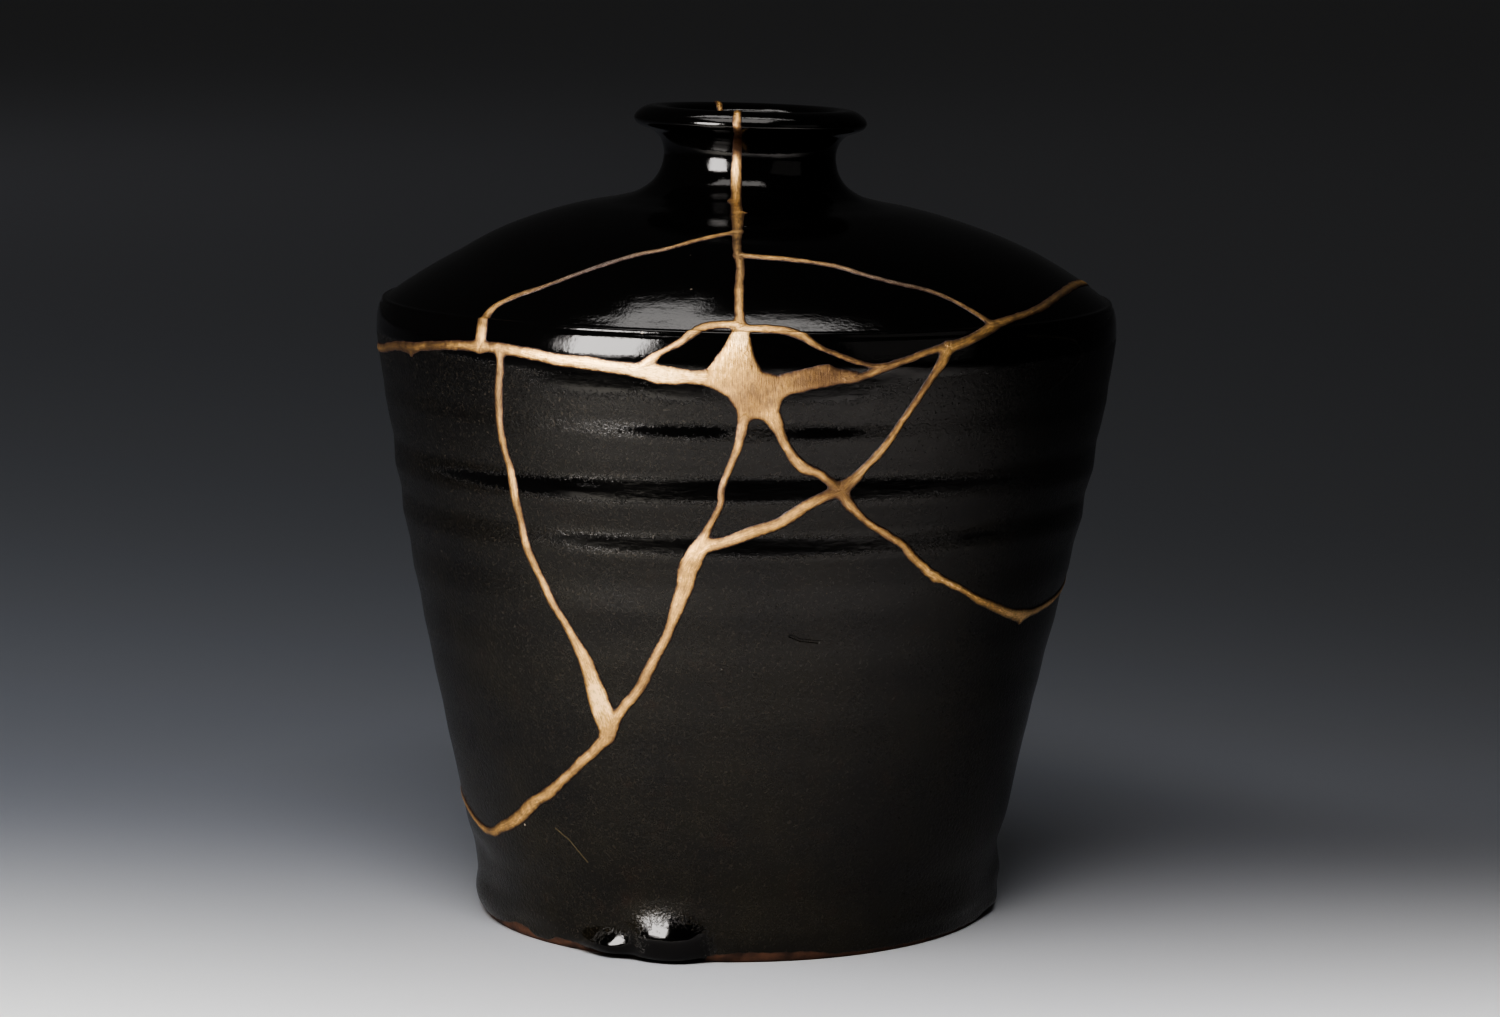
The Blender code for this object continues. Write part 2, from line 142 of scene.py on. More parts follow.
# Soft spots, each a bell curve in degrees and in tape, added up or joined by their greatest.
def softSpots(spots, degrees, tape, join=np.add):
    total = np.zeros(np.broadcast(degrees, tape).shape)
    for place, middle, wide, tall, amount in spots:
        total = join(total, amount * bell(degrees - place, tape - middle, wide, tall))
    return total


wallRelief = {
    # finger ridges: depth and half height of each step, then its tape and strength at some degrees round
    "steps": [
        (0.40, 3.8, [(-180, 194, 0), (-36, 197, 0), (-28, 196.6, 0.7), (-14, 194.6, 1.0), (-6, 193.2, 0.8),
                     (0, 193, 0.5), (8, 193, 0.75), (18, 194.5, 0.75), (28, 196, 0)]),
        (0.54, 3.0, [(-180, 179.0, 0.4), (-60, 181, 0.3), (-30, 180.4, 0.45), (-25, 180.2, 0.50),
                     (-17, 180.1, 0.95), (-6, 180.2, 1.05), (0, 180.2, 0.7), (11, 180.0, 1.05),
                     (20, 180.1, 0.8), (27, 180.6, 0.3), (90, 181.5, 0.35)]),
        (1.00, 4.9, [(-180, 163, 0.6), (-70, 159.6, 0.7), (-52, 159.8, 0.9), (-36, 159.9, 0.98),
                     (-22, 160.2, 1.0), (-8, 161.2, 1.06), (5, 161.7, 1.09), (15, 161.7, 1.12),
                     (24, 161.6, 1.15), (36, 161.2, 1.0), (48, 161.1, 0.7), (100, 159.8, 0.7)]),
        (0.89, 4.2, [(-180, 145, 0.6), (-60, 142.6, 0.6), (-32, 143.1, 0.75), (-22, 143.1, 1.0),
                     (0, 143.2, 1.08), (15, 143.3, 1.1), (24, 143.4, 1.1), (32, 143.3, 1.0),
                     (40, 143.4, 1.05), (52, 143.5, 0.7), (110, 142, 0.7)]),
        (0.46, 4.8, [(-180, 123, 0.9), (-40, 125.4, 0.8), (-25, 124.8, 1.05), (0, 124.6, 0.6),
                     (60, 126, 0.8), (130, 124, 0.9)]),
        (0.30, 4.8, [(-180, 108, 0.9), (-40, 105.6, 0.7), (0, 106.5, 0.5), (60, 107.5, 0.8),
                     (130, 105.5, 0.9)]),
        (0.22, 5.0, [(-180, 87, 0.9), (-60, 89, 0.8), (0, 88, 0.5), (60, 86.5, 0.8)]),
        (0.18, 5.0, [(-180, 70, 0.9), (-60, 68, 0.8), (0, 69, 0.4), (60, 70.5, 0.8)]),
    ],
    "stepFade": 0.03,        # how fast a ridge dies away past its step
    # soft bulges and hollows: degrees, tape, half width in degrees, half height up, down, depth
    "lumps": [
        (-16.0, 4.8, 8.2, 11.0, 5.0, 5.0),      # the big glaze drip at the front of the foot
        (-10.5, 5.5, 4.5, 9.0, 5.0, 1.7),       # its right side
        (-28.0, 4.8, 6.5, 3.2, 3.5, 3.8),       # the smaller drip beside it
        (-22.4, 5.0, 2.4, 4.0, 4.0, -1.2),      # the dip between them
        (-1.0, 4.5, 2.2, 5.0, 3.0, 0.9),
        (6.0, 5.5, 4.5, 3.5, 3.0, 0.35),
        (-26.0, 159.4, 3.6, 2.0, 2.0, 0.2),
        (-40.0, 6.5, 7.0, 7.0, 4.0, 0.7),
        (-75.0, 25.0, 9.0, 4.5, 4.5, -1.1),     # the notch over the roll at the left
        (-80.0, 11.0, 12.0, 8.0, 6.0, 0.5),
        (84.0, 14.0, 9.0, 5.0, 4.5, 1.9),
        (80.0, 4.5, 8.0, 2.6, 2.4, 0.9),
        (88.0, 26.0, 12.0, 6.0, 5.0, -1.2),
        (58.0, 8.0, 10.0, 7.0, 4.0, 0.4),
        (128.0, 8.0, 8.0, 9.0, 4.0, 1.4),
        (171.0, 9.0, 7.0, 8.0, 4.5, 1.9),
        (-122.0, 8.0, 9.0, 8.0, 4.0, 1.1),
        (-158.0, 6.5, 6.0, 6.0, 4.0, 0.8),
    ],
    # the shoulder's edge: tape, height, reach below and above
    "shoulderEdge": [
        (209.8, 0.25, 1.35, 1.4),      # the ridge where the wall turns over into the shoulder
        (205.1, -0.44, 2.75, 3.05),    # the hollow under it
        (211.8, 0.80, 1.0, 0.7),       # the sharp line along it
    ],
    "edgeSag": 1.1,          # how much lower the edge stands at the back
    "edgeWave": 0.25,        # how far it waves up and down, three times round
    # the roll at the foot, planed off and filled out in front: tape, depth, reach below and above
    "footTrims": [(5.6, -1.2, 4.2, 4.0), (15.0, 0.45, 4.5, 6.0)],
    "trimStart": (-72.0, -52.0),       # degrees over which the trims set in, and end
    "trimEnd": (60.0, 80.0),
    # tape, height and half height
    "neckRings": [(304.5, 0.06, 2.2), (317.0, 0.06, 1.8), (338.9, -0.28, 2.2), (344.0, 0.25, 3.0)],
    "unevenness": 0.16,
    "waves": 26,
    "wavesRound": (2, 15),             # whole waves round the jar, from and below
    "waveClimb": 0.09,                 # how steeply a wave may climb round the jar
    "wallStart": (0.0, 12.0),          # tape over which the unevenness sets in, and ends
    "wallEnd": (300.0, 335.0),
    "footFade": (0.3, 3.5),            # tape over which all relief sets in at the foot
    "lipFade": 8.0,                    # and reach over which it ends past the lip
}

rng = np.random.RandomState(11)
waveTable = [
    (rng.randint(*wallRelief["wavesRound"]),
     rng.uniform(-wallRelief["waveClimb"], wallRelief["waveClimb"]),
     rng.uniform(0, 2 * math.pi))
    for _ in range(wallRelief["waves"])
]


# A third of a sum of cosines whose whole numbers of waves round the jar keep it seamless; the more
# waves one has, the lower it is.
def unevenness(angle, tape):
    total = np.zeros(np.broadcast(angle, tape).shape)
    for waves, climb, phase in waveTable:
        total += np.cos(waves * angle + climb * tape + phase) / waves ** 0.7
    return total / 3.0


# Each step leans in evenly over its height and slowly comes back above and below it, as u over
# the fifth root of one plus u to the tenth, so it stands upright in the flaring wall; lumps, rings
# and edges are bell curves with their own height above and below the middle.
def relief(angle, tape):
    degrees = np.degrees(angle)
    out = np.zeros(np.broadcast(angle, tape).shape)
    for depth, half, course in wallRelief["steps"]:
        around, middles, strengths = closedCourse(course)
        u = (tape - np.interp(degrees, around, middles)) / half
        fading = np.exp(-wallRelief["stepFade"] * u * u)
        out = out - depth * np.interp(degrees, around, strengths) * u / (1.0 + u ** 10) ** 0.2 * fading
    for place, middle, wide, up, down, depth in wallRelief["lumps"]:
        turn = (degrees - place + 180.0) % 360.0 - 180.0
        out = out + depth * bell(turn, tape - middle, wide, np.where(tape > middle, up, down))
    sag = wallRelief["edgeSag"] * np.sin(angle * 0.5 + 0.2) ** 2 + wallRelief["edgeWave"] * np.sin(3 * angle)
    for middle, depth, below, above in wallRelief["shoulderEdge"]:
        away = tape - middle + sag
        out = out + depth * np.exp(-(away / np.where(away < 0, below, above)) ** 2)
    trimmed = smoothStep(*wallRelief["trimStart"], degrees)
    trimmed = trimmed * (1.0 - smoothStep(*wallRelief["trimEnd"], degrees))
    for middle, depth, below, above in wallRelief["footTrims"]:
        out = out + depth * trimmed * np.exp(-((tape - middle) / np.where(tape < middle, below, above)) ** 2)
    for middle, depth, half in wallRelief["neckRings"]:
        out = out + depth * np.exp(-((tape - middle) / half) ** 2)
    wall = smoothStep(*wallRelief["wallStart"], tape) * (1.0 - smoothStep(*wallRelief["wallEnd"], tape))
    out = out + wallRelief["unevenness"] * wall * unevenness(angle, tape)
    past = smoothStep(crestTape, crestTape + wallRelief["lipFade"], tape)
    return out * smoothStep(*wallRelief["footFade"], tape) * (1.0 - past)


# Vertices and quads go into a new mesh, smooth shaded, on an object at the origin.
def meshObject(name, points, quads, triangles=None):
    mesh = bpy.data.meshes.new(name)
    faces = [quads] + ([triangles] if triangles is not None else [])
    counts = np.concatenate([np.full(len(f), f.shape[1]) for f in faces])
    corners = np.concatenate([f.ravel() for f in faces])
    mesh.vertices.add(len(points))
    mesh.vertices.foreach_set("co", np.asarray(points, np.float32).ravel())
    mesh.loops.add(len(corners))
    mesh.loops.foreach_set("vertex_index", corners.astype(np.int32))
    mesh.polygons.add(len(counts))
    starts = np.concatenate([[0], np.cumsum(counts)[:-1]])
    mesh.polygons.foreach_set("loop_start", starts.astype(np.int32))
    mesh.update(calc_edges=True)
    mesh.shade_smooth()
    made = bpy.data.objects.new(name, mesh)
    bpy.context.scene.collection.objects.link(made)
    return made


# One number for each vertex, under a name that a material reads.
def pointValues(piece, name, values):
    layer = piece.data.attributes.new(name, "FLOAT", "POINT")
    layer.data.foreach_set("value", np.asarray(values, np.float32).ravel())


jarBody = {
    "columns": 264,
    "crowding": 0.28,        # how much closer the columns stand at the front
    # rows up the outside and over the lip: from tape, to tape, distance between rows
    "rows": [(0.0, 22.0, 0.9), (22.0, 130.0, 1.7), (130.0, 196.0, 1.2), (196.0, 207.5, 0.8),
             (207.5, 214.0, 0.3), (214.0, 222.0, 0.9), (222.0, 300.0, 2.0), (300.0, 375.0, 1.0)],
    "innerRow": 6.0,         # distance between rows down the inside
    "floorGap": 4.0,         # radius left open in the jar's floor, closed with a fan
    "baseRings": [30.0, 62.0, 82.0],   # radii of the rings under the foot
    # height of the bare clay line over the foot at some degrees round
    "clayLine": [(-180, 3.0), (-150, 4.5), (-120, 2.0), (-90, 1.6), (-70, 2.0), (-62, 2.6), (-56, 4.2),
                 (-52, 3.6), (-49, 1.2), (-45, 1.4), (-42, 3.4), (-36, 3.2), (-30, 2.2), (-24, 2.6),
                 (-20, 1.6), (-18, 0.0), (-7, 0.0), (-6, 3.2), (0, 3.9), (8, 3.6), (16, 3.0), (22, 1.6),
                 (34, 1.5), (50, 1.4), (70, 0.8), (90, 0.6), (120, 3.4), (150, 4.0)],
    "clayReach": 10.0,       # distances to the clay line are counted up to this
}


glazePools = {
    # bands where the glaze lies thick and glossy: lower and upper tape at some degrees round
    "bands": [
        [(-19, 180, 180), (-14, 178.4, 182), (-10, 177.9, 182.2), (-4, 178.2, 182.4), (-2, 180, 180.6)],
        [(4, 178.5, 180.5), (10, 177.6, 182.4), (15, 178.2, 181.8), (20, 180, 180)],
        [(-60, 159.6, 159.6), (-52, 158.4, 161.4), (-36, 157, 162.8), (-22, 156.8, 163.6), (0, 157.6, 165.8),
         (24, 158.5, 164.8), (36, 159, 163.4), (44, 159.8, 162.6), (54, 161, 161)],
        [(-36, 143.2, 143.2), (-24, 141.2, 145), (1, 139.9, 146.5), (22, 141.2, 145.7), (30, 142.8, 143.8),
         (34, 142.8, 143.8), (40, 141.9, 145), (52, 143.4, 143.4)],
    ],
    # rounder pools: degrees, tape, half width in degrees, half height, softness of the border
    "spots": [(-12.5, 6.5, 7.6, 9.0, 3.6), (-25.0, 4.5, 6.0, 5.0, 3.0),
              (-23.0, 194.5, 9.0, 4.0, 3.0), (-10.0, 193.5, 6.0, 4.0, 3.0), (12.0, 193.0, 9.0, 3.2, 3.0)],
    # smoother satin, or rougher where the amount is below nought: degrees, tape, half widths, amount
    "sheen": [(-17.0, 12.0, 9.0, 10.0, 0.40), (-27.0, 7.0, 8.0, 6.0, 0.45), (8.0, 4.0, 6.0, 3.0, 0.5),
              (-40.0, 6.0, 10.0, 5.0, 0.4), (-22.0, 172.0, 9.0, 8.0, 0.12), (-23.0, 188.0, 6.0, 4.5, -0.13),
              (-25.0, 121.0, 7.0, 9.0, -0.12), (-58.0, 140.0, 13.0, 75.0, 0.16),
              (20.0, 150.0, 18.0, 75.0, 0.13)],
    # everything above this line is glossy: tape at some degrees round
    "shoulderLine": [(-180, 198), (-60, 200), (-44, 198.5), (-30, 196.5), (-12, 194.5), (0, 194), (14, 193.5),
                     (30, 197), (50, 199), (90, 200)],
    "reach": 8.0,            # depths in and out of the pools are counted up to this
    "plain": 5.0,            # depth given to the jar's floor, and below nought to its base
}


# How far inside a glossy area a place lies, in millimetres; the greatest over all the areas.
def pooledDepth(degrees, tape):
    deep = tape - np.interp(degrees, *closedCourse(glazePools["shoulderLine"]))
    for band in glazePools["bands"]:
        around, lows, highs = np.array(band, float).T
        across = np.minimum(tape - np.interp(degrees, around, lows), np.interp(degrees, around, highs) - tape)
        past = np.maximum(around[0] - degrees, degrees - around[-1])
        deep = np.maximum(deep, across - np.maximum(past, 0.0))
    for place, middle, wide, tall, soft in glazePools["spots"]:
        off = np.hypot((degrees - place) / wide, (tape - middle) / tall)
        deep = np.maximum(deep, (1.0 - off) * soft)
    return np.clip(deep, -glazePools["reach"], glazePools["reach"])


# The wall swept round on a grid of degrees and tape, closed at the middle of the base and the floor.
def makeJarBody():
    columns = jarBody["columns"]
    turn = np.linspace(-math.pi, math.pi, columns, endpoint=False)
    angle = turn - jarBody["crowding"] * np.sin(turn)
    tapes = [np.arange(low, high, step) for low, high, step in jarBody["rows"]]
    turned = jarBody["rows"][-1][1]
    last = tapeAlong[-1] - jarBody["floorGap"]
    inner = np.linspace(turned, last, int((last - turned) / jarBody["innerRow"]))
    tape = np.concatenate(tapes + [inner])
    grid = onWall(angle[None, :], tape[:, None], relief(angle[None, :], tape[:, None])) * mm
    circle = np.stack([np.sin(angle), -np.cos(angle), 0 * angle], axis=1)
    rings = [circle * radius * mm for radius in jarBody["baseRings"]]
    rows = len(rings) + len(tape)
    here = np.arange(rows * columns).reshape(rows, columns)
    right = np.roll(here, -1, axis=1)
    quads = np.stack([here[:-1], right[:-1], right[1:], here[1:]], axis=-1).reshape(-1, 4)
    bottom, top = rows * columns, rows * columns + 1
    fans = np.concatenate([
        np.stack([np.full(columns, bottom), right[0], here[0]], axis=1),
        np.stack([here[-1], right[-1], np.full(columns, top)], axis=1),
    ])
    floorMiddle = settle(np.zeros(1), np.zeros(1), outline[-1:, 1]) * mm
    points = np.concatenate([*rings, grid.reshape(-1, 3), np.zeros((1, 3)), floorMiddle])
    body = meshObject("jarBody", points, quads, fans)
    degrees, up = np.degrees(angle)[None, :], tape[:, None]
    reach, plain = jarBody["clayReach"], glazePools["plain"]
    glazed = np.clip(up - np.interp(degrees, *closedCourse(jarBody["clayLine"])), -reach, reach)
    sheen = softSpots(glazePools["sheen"], degrees, up)
    values = [
        ("glazeEdge", glazed, -reach, reach),
        ("pooled", pooledDepth(degrees, up), -plain, plain),
        ("sheen", sheen, 0.0, 0.0),
    ]
    for name, wall, base, floorValue in values:
        under = np.full(len(rings) * columns, base)
        pointValues(body, name, np.concatenate([under, wall.ravel(), [base, floorValue]]))
    return body


goldSeams = {
    # each mended crack: (degrees, tape, width of the gilt line)
    "cracks": {
        "neck": [(-7.5, 363, 2.6), (-7.5, 345, 2.6), (-6.5, 337, 2.9), (-6.5, 332, 2.6),
                 (-8.5, 322, 3.2), (-8.5, 316, 3.8), (-7, 306, 3.5), (-5.5, 298, 3.9), (-4, 290, 4.3),
                 (-3.5, 283, 4.2), (-3, 272, 3.4), (-2.5, 258, 3.1), (-1.5, 246, 3), (-1.5, 235, 3.1),
                 (-1, 214, 3.6)],
        "leftShoulder": [(-2.5, 271, 3.2), (-9, 266, 3.2), (-13, 262, 3), (-18, 256, 2.6),
                         (-24, 251, 2.6), (-31.5, 241.5, 2.6), (-38, 230, 2.7), (-41.5, 224.5, 3.2),
                         (-43.5, 219, 3.7), (-43.5, 214.5, 3.8), (-42.5, 208, 5), (-42.5, 203, 4.4)],
        "rightShoulder": [(-2, 253, 3.2), (8, 251, 3.2), (14, 248.5, 2.7), (17.5, 246.5, 2.8),
                          (22.5, 241, 2.4), (27.5, 236, 2.5), (32.5, 231.5, 2.4), (35.5, 226.5, 2.4),
                          (37.5, 221.5, 2.6), (40, 213.5, 3.2)],
        "leftBand": [(-5.5, 197.5, 5), (-8, 197.5, 4.6), (-12, 198, 6.3), (-15.5, 199, 5),
                     (-18, 199.5, 4.1), (-23, 200.5, 4.4), (-28, 201, 4), (-32, 202, 3.9),
                     (-38, 203, 3.8), (-42, 203, 3.6), (-49.5, 202, 3.2), (-56, 200.5, 2.9),
                     (-60.5, 199, 3.8), (-66, 198.5, 3.1), (-74, 196, 3), (-81.5, 194.5, 3.2),
                     (-100, 192, 3.4), (-118, 196, 3.1), (-134, 203, 3.4), (-148, 208, 3.2),
                     (-160, 212, 3.6)],
        "rightBand": [(14, 198, 4.2), (16, 197.5, 3), (19.5, 200, 2.8), (24, 203, 2.5),
                      (28, 205.5, 2.6), (31.5, 206.5, 3.4), (36.5, 209.5, 3), (40, 212.5, 4),
                      (45, 215, 3.1), (52, 217.5, 2.9), (60, 221, 3), (66, 223, 3.1), (76, 224.5, 3.3),
                      (88, 222.5, 3.3), (103, 216, 3.3), (117, 211, 3.1), (128, 205, 3.2),
                      (136, 196, 3.4), (140, 184, 3.4)],
        "leftArc": [(-1, 216, 3.5), (-3.5, 216, 3.7), (-6, 215, 4), (-7.5, 212.5, 3.8),
                    (-9.5, 208.5, 2.6), (-11.5, 206, 2.4), (-13.5, 203, 3), (-15.5, 199.5, 3.4)],
        "rightArc": [(-1, 214, 4), (2.5, 214, 4.4), (6, 213, 4.4), (8, 211, 3.4), (10, 208, 2.1),
                     (12.5, 205.5, 1.9), (16, 202.5, 1.7), (20, 200.5, 1.9)],
        "windowSide": [(-38.5, 202.5, 3.6), (-38.5, 197.5, 3.5), (-39, 192, 3.6), (-39.5, 185, 3.6),
                       (-39.5, 173, 3.3), (-39, 166, 3.3), (-38, 157, 3.9), (-37.5, 147, 3.3),
                       (-36.5, 139, 3.7), (-35, 131, 3.4), (-32.5, 121.5, 3.3), (-30.5, 115, 3.3),
                       (-28.5, 108, 4.2), (-27, 102.5, 5.3), (-26, 96, 6.4), (-25, 89, 8.1),
                       (-24, 82.5, 7.6), (-24, 77, 4.6)],
        "longLeg": [(0, 187, 4), (-0.5, 181, 3.5), (-1, 176, 3), (-2.5, 167.5, 2.5),
                    (-3.5, 161.5, 2.5), (-3.5, 157.5, 2.3), (-5.5, 148.5, 2.8), (-6.5, 144, 4.4),
                    (-7.5, 139.5, 6.2), (-8.5, 135.5, 6.6), (-9, 130.5, 5.9), (-10.5, 121.5, 4.3),
                    (-11.5, 116, 3.5), (-12.5, 111.5, 3.5), (-15, 102.5, 3.8), (-16, 98.5, 3.8),
                    (-17.5, 94, 3.6), (-21, 86, 3.6), (-24, 77.5, 4.3), (-27.5, 71, 3.7),
                    (-30, 67.5, 3.7), (-32, 64, 3.5), (-36, 58.5, 3.7), (-39, 54.5, 4.4),
                    (-41.5, 52, 4), (-44, 49.5, 4.8), (-47.5, 45, 4.7), (-51.5, 41, 4.4),
                    (-56, 38, 3.8), (-60, 35, 3.2), (-65, 34.5, 2.9), (-71, 36.5, 2.7),
                    (-78, 39.5, 2.8)],
        "shortLeg": [(4, 185, 5), (5, 180.5, 3.8), (6, 176, 3), (7.5, 171.5, 3.8), (9, 168.5, 4),
                     (11, 167, 3), (13, 164, 3.2), (14.5, 161.5, 3.8)],
        "crossLeft": [(14.5, 161.5, 4.1), (12, 159.5, 3.6), (9.5, 157, 3.8), (7.5, 154, 4.3),
                      (5.5, 151, 4.1), (1.5, 148, 4.4), (-3, 144.5, 3.6), (-5.5, 143.5, 4.6),
                      (-7.5, 141, 5)],
        "crossUp": [(30.5, 206, 4.3), (29.5, 202, 3.8), (28, 197.5, 3.1), (25.5, 189.5, 2.6),
                    (23, 181.5, 2.6), (20, 172.5, 3.1), (18.5, 169, 3), (17, 165.5, 3.6),
                    (15, 162, 4.2)],
        "crossDown": [(14.5, 161.5, 4), (16, 157, 3.6), (17.5, 154, 2.8), (19.5, 150.5, 2.5),
                      (23.5, 145.5, 2.9), (26, 142.5, 2.9), (27.5, 139, 3.3), (30, 135, 3),
                      (31.5, 132.5, 3.4), (34, 130, 2.8), (40, 124.5, 2.6), (44, 120.5, 3.1),
                      (48, 117.5, 3.3), (53, 114, 3.6), (57.5, 112, 4.8), (61, 112, 3.2),
                      (68, 112.5, 2.8), (77, 114, 2.8), (90, 117.5, 3), (105, 127, 3.2),
                      (119, 141, 3.4), (130, 158, 3.2), (137, 172, 3.2), (140, 184, 3.4)],
        "back": [(-154, 363, 2.4), (-156.5, 352, 2.4), (-159.5, 345, 2.5), (-160.5, 334, 2.6),
                 (-163, 318, 3), (-160, 300, 3.2), (-158, 280, 3.2), (-160, 255, 3.1),
                 (-162, 235, 3.2), (-160, 212, 3.6), (-156, 190, 3.2), (-149, 166, 3.4),
                 (-144, 142, 3.1), (-136, 114, 3.3), (-124, 88, 3.2), (-109, 60, 3.4), (-95, 44, 3.1),
                 (-85, 40.5, 2.9), (-78, 39.5, 2.8)],
    },
    # the lost sherd's place, filled as a star: (degrees, tape) round its rim
    "star": [
        (-2, 214), (-2.4, 211.5), (-3.5, 207), (-4.8, 202.5), (-6.2, 198), (-6.2, 195.2), (-4, 193.1),
        (-2.6, 191.2), (-1.5, 188.1), (-1, 184.4), (0.6, 184.4), (1.8, 184.6), (2.8, 183.9), (4.2, 181.3),
        (5.6, 182.6), (4.9, 187), (5.3, 190.5), (6.5, 192.4), (10.9, 194.5), (16, 196.5), (16, 199.4),
        (14.2, 199.6), (12, 202), (10.5, 201.8), (6.9, 199.9), (4.5, 198.8), (2.4, 199.8), (1.5, 203.3),
        (0.8, 207.9), (0.4, 214),
    ],
    # small blobs beside the lines: degrees, tape, radius
    "blobs": [(-60.6, 197.2, 1.3), (57.4, 110.4, 1.3), (-8.6, 303.0, 1.5), (-2.0, 291.0, 1.5),
              (33.0, 130.4, 1.7)],
    # where the gold powder is rubbed thin and brown, and where painted highlights make it paler and painted
    # shade on parts turned from the light makes it browner: degrees, tape, half widths, amount
    "wearAndPaintedLight": [
        (-66.0, 198.0, 20.0, 12.0, 0.42), (75.0, 222.0, 30.0, 14.0, 0.05), (-7.0, 327.5, 8.0, 7.0, 1.6),
        (-4.0, 298.0, 8.0, 10.0, 0.15), (11.0, 198.0, 6.0, 5.0, 0.60), (-31.0, 124.0, 3.0, 5.0, 0.15),
        (14.5, 162.0, 4.0, 5.0, 0.45), (-3.5, 160.0, 3.0, 9.0, 0.25), (21.0, 200.0, 6.0, 4.0, 0.25),
        (-24.0, 78.0, 2.0, 3.5, 0.30), (26.0, 190.0, 5.0, 18.0, 0.20), (24.0, 146.0, 8.0, 12.0, 0.10),
        (-14.0, 198.5, 9.0, 5.0, -0.75), (-28.0, 201.5, 9.0, 4.0, -0.40),
        (-24.5, 90.0, 3.0, 9.0, -0.65), (-8.7, 317.0, 3.0, 8.0, -0.40), (-1.0, 211.0, 3.0, 5.0, -0.75),
        (-7.5, 347.0, 4.0, 6.0, -0.70), (1.0, 192.0, 5.0, 7.0, 0.40), (-38.5, 160.0, 5.0, 50.0, 0.12),
        (-16.0, 98.0, 5.0, 12.0, 0.15), (36.0, 128.0, 8.0, 8.0, -0.45), (64.0, 113.0, 16.0, 8.0, -0.75),
    ],
    # where it has gone greyish: degrees, tape, half widths, amount
    "dulled": [
        (-28.0, 242.0, 17.0, 20.0, 1.0), (27.0, 238.0, 17.0, 20.0, 0.80), (66.0, 113.0, 18.0, 10.0, 0.35),
        (62.0, 222.0, 22.0, 12.0, 0.45), (-1.5, 262.0, 4.0, 24.0, 0.35), (-39.0, 190.0, 4.0, 12.0, 0.30),
    ],
    "fineness": 12,          # pieces that each span of a line is cut into
    "chartRadius": 120.0,    # the wall is unrolled at this radius
    "chartTape": (28.0, 364.0),
    "chartGap": 1.0,         # strip left off each side of the chart, at the back
    "cell": 0.5,
    "far": 9.0,              # distance given to places away from every line
    "margin": 3.2,           # how far past a line's edge the distance is worked out
    "starMargin": 6.0,
    "fillet": 1.5,           # softening where two lines meet
    # uneven edges: their depth, then layers of share, stretch, shift along and across, size and seed
    "raggedness": 0.17,
    "ragged": [(1.0, 1.0, 0.0, 0.0, 3.1, 3), (0.45, 1.0, 0.0, 0.0, 1.2, 4)],
    "rim": 0.12,             # height of the gilt's edge over the glaze
    "crown": 0.44,           # how much higher its middle stands
    "rounding": 1.25,        # distance in which the edge rises to the crown
    # brush marks, in the same way
    "brushMarks": 0.035,
    "brushed": [(1.0, 0.22, 40.0, 60.0, 0.7, 7), (0.6, 0.5, 9.0, 30.0, 1.6, 8)],
    "depth": 0.7,            # how far the lacquer goes into the wall
    "strokeScale": 0.01,     # the map of the strokes, for each millimetre
}


# A lattice of random heights, read between its points with a smooth step.
def latticeNoise(x, y, size, seed):
    gx, gy = x / size, y / size
    ix, iy = np.floor(gx).astype(int), np.floor(gy).astype(int)
    fx, fy = gx - ix, gy - iy
    fx, fy = fx * fx * (3 - 2 * fx), fy * fy * (3 - 2 * fy)
    table = np.random.RandomState(seed).uniform(-1.0, 1.0, (256, 256))
    a, b = table[ix % 256, iy % 256], table[(ix + 1) % 256, iy % 256]
    c, d = table[ix % 256, (iy + 1) % 256], table[(ix + 1) % 256, (iy + 1) % 256]
    return (a * (1 - fx) + b * fx) * (1 - fy) + (c * (1 - fx) + d * fx) * fy


# Lattices laid over each other: share, stretch and shift of x, shift of y, size and seed of each.
def layeredNoise(x, y, layers):
    total = 0.0
    for share, stretch, shiftX, shiftY, size, seed in layers:
        total = total + share * latticeNoise(x * stretch + shiftX, y + shiftY, size, seed)
    return total


# The smaller of two distances, rounded over a short reach where they are nearly equal.
def softMin(a, b, reach):
    near = np.maximum(reach - np.abs(a - b), 0.0) / reach
    return np.minimum(a, b) - near * near * reach * 0.25


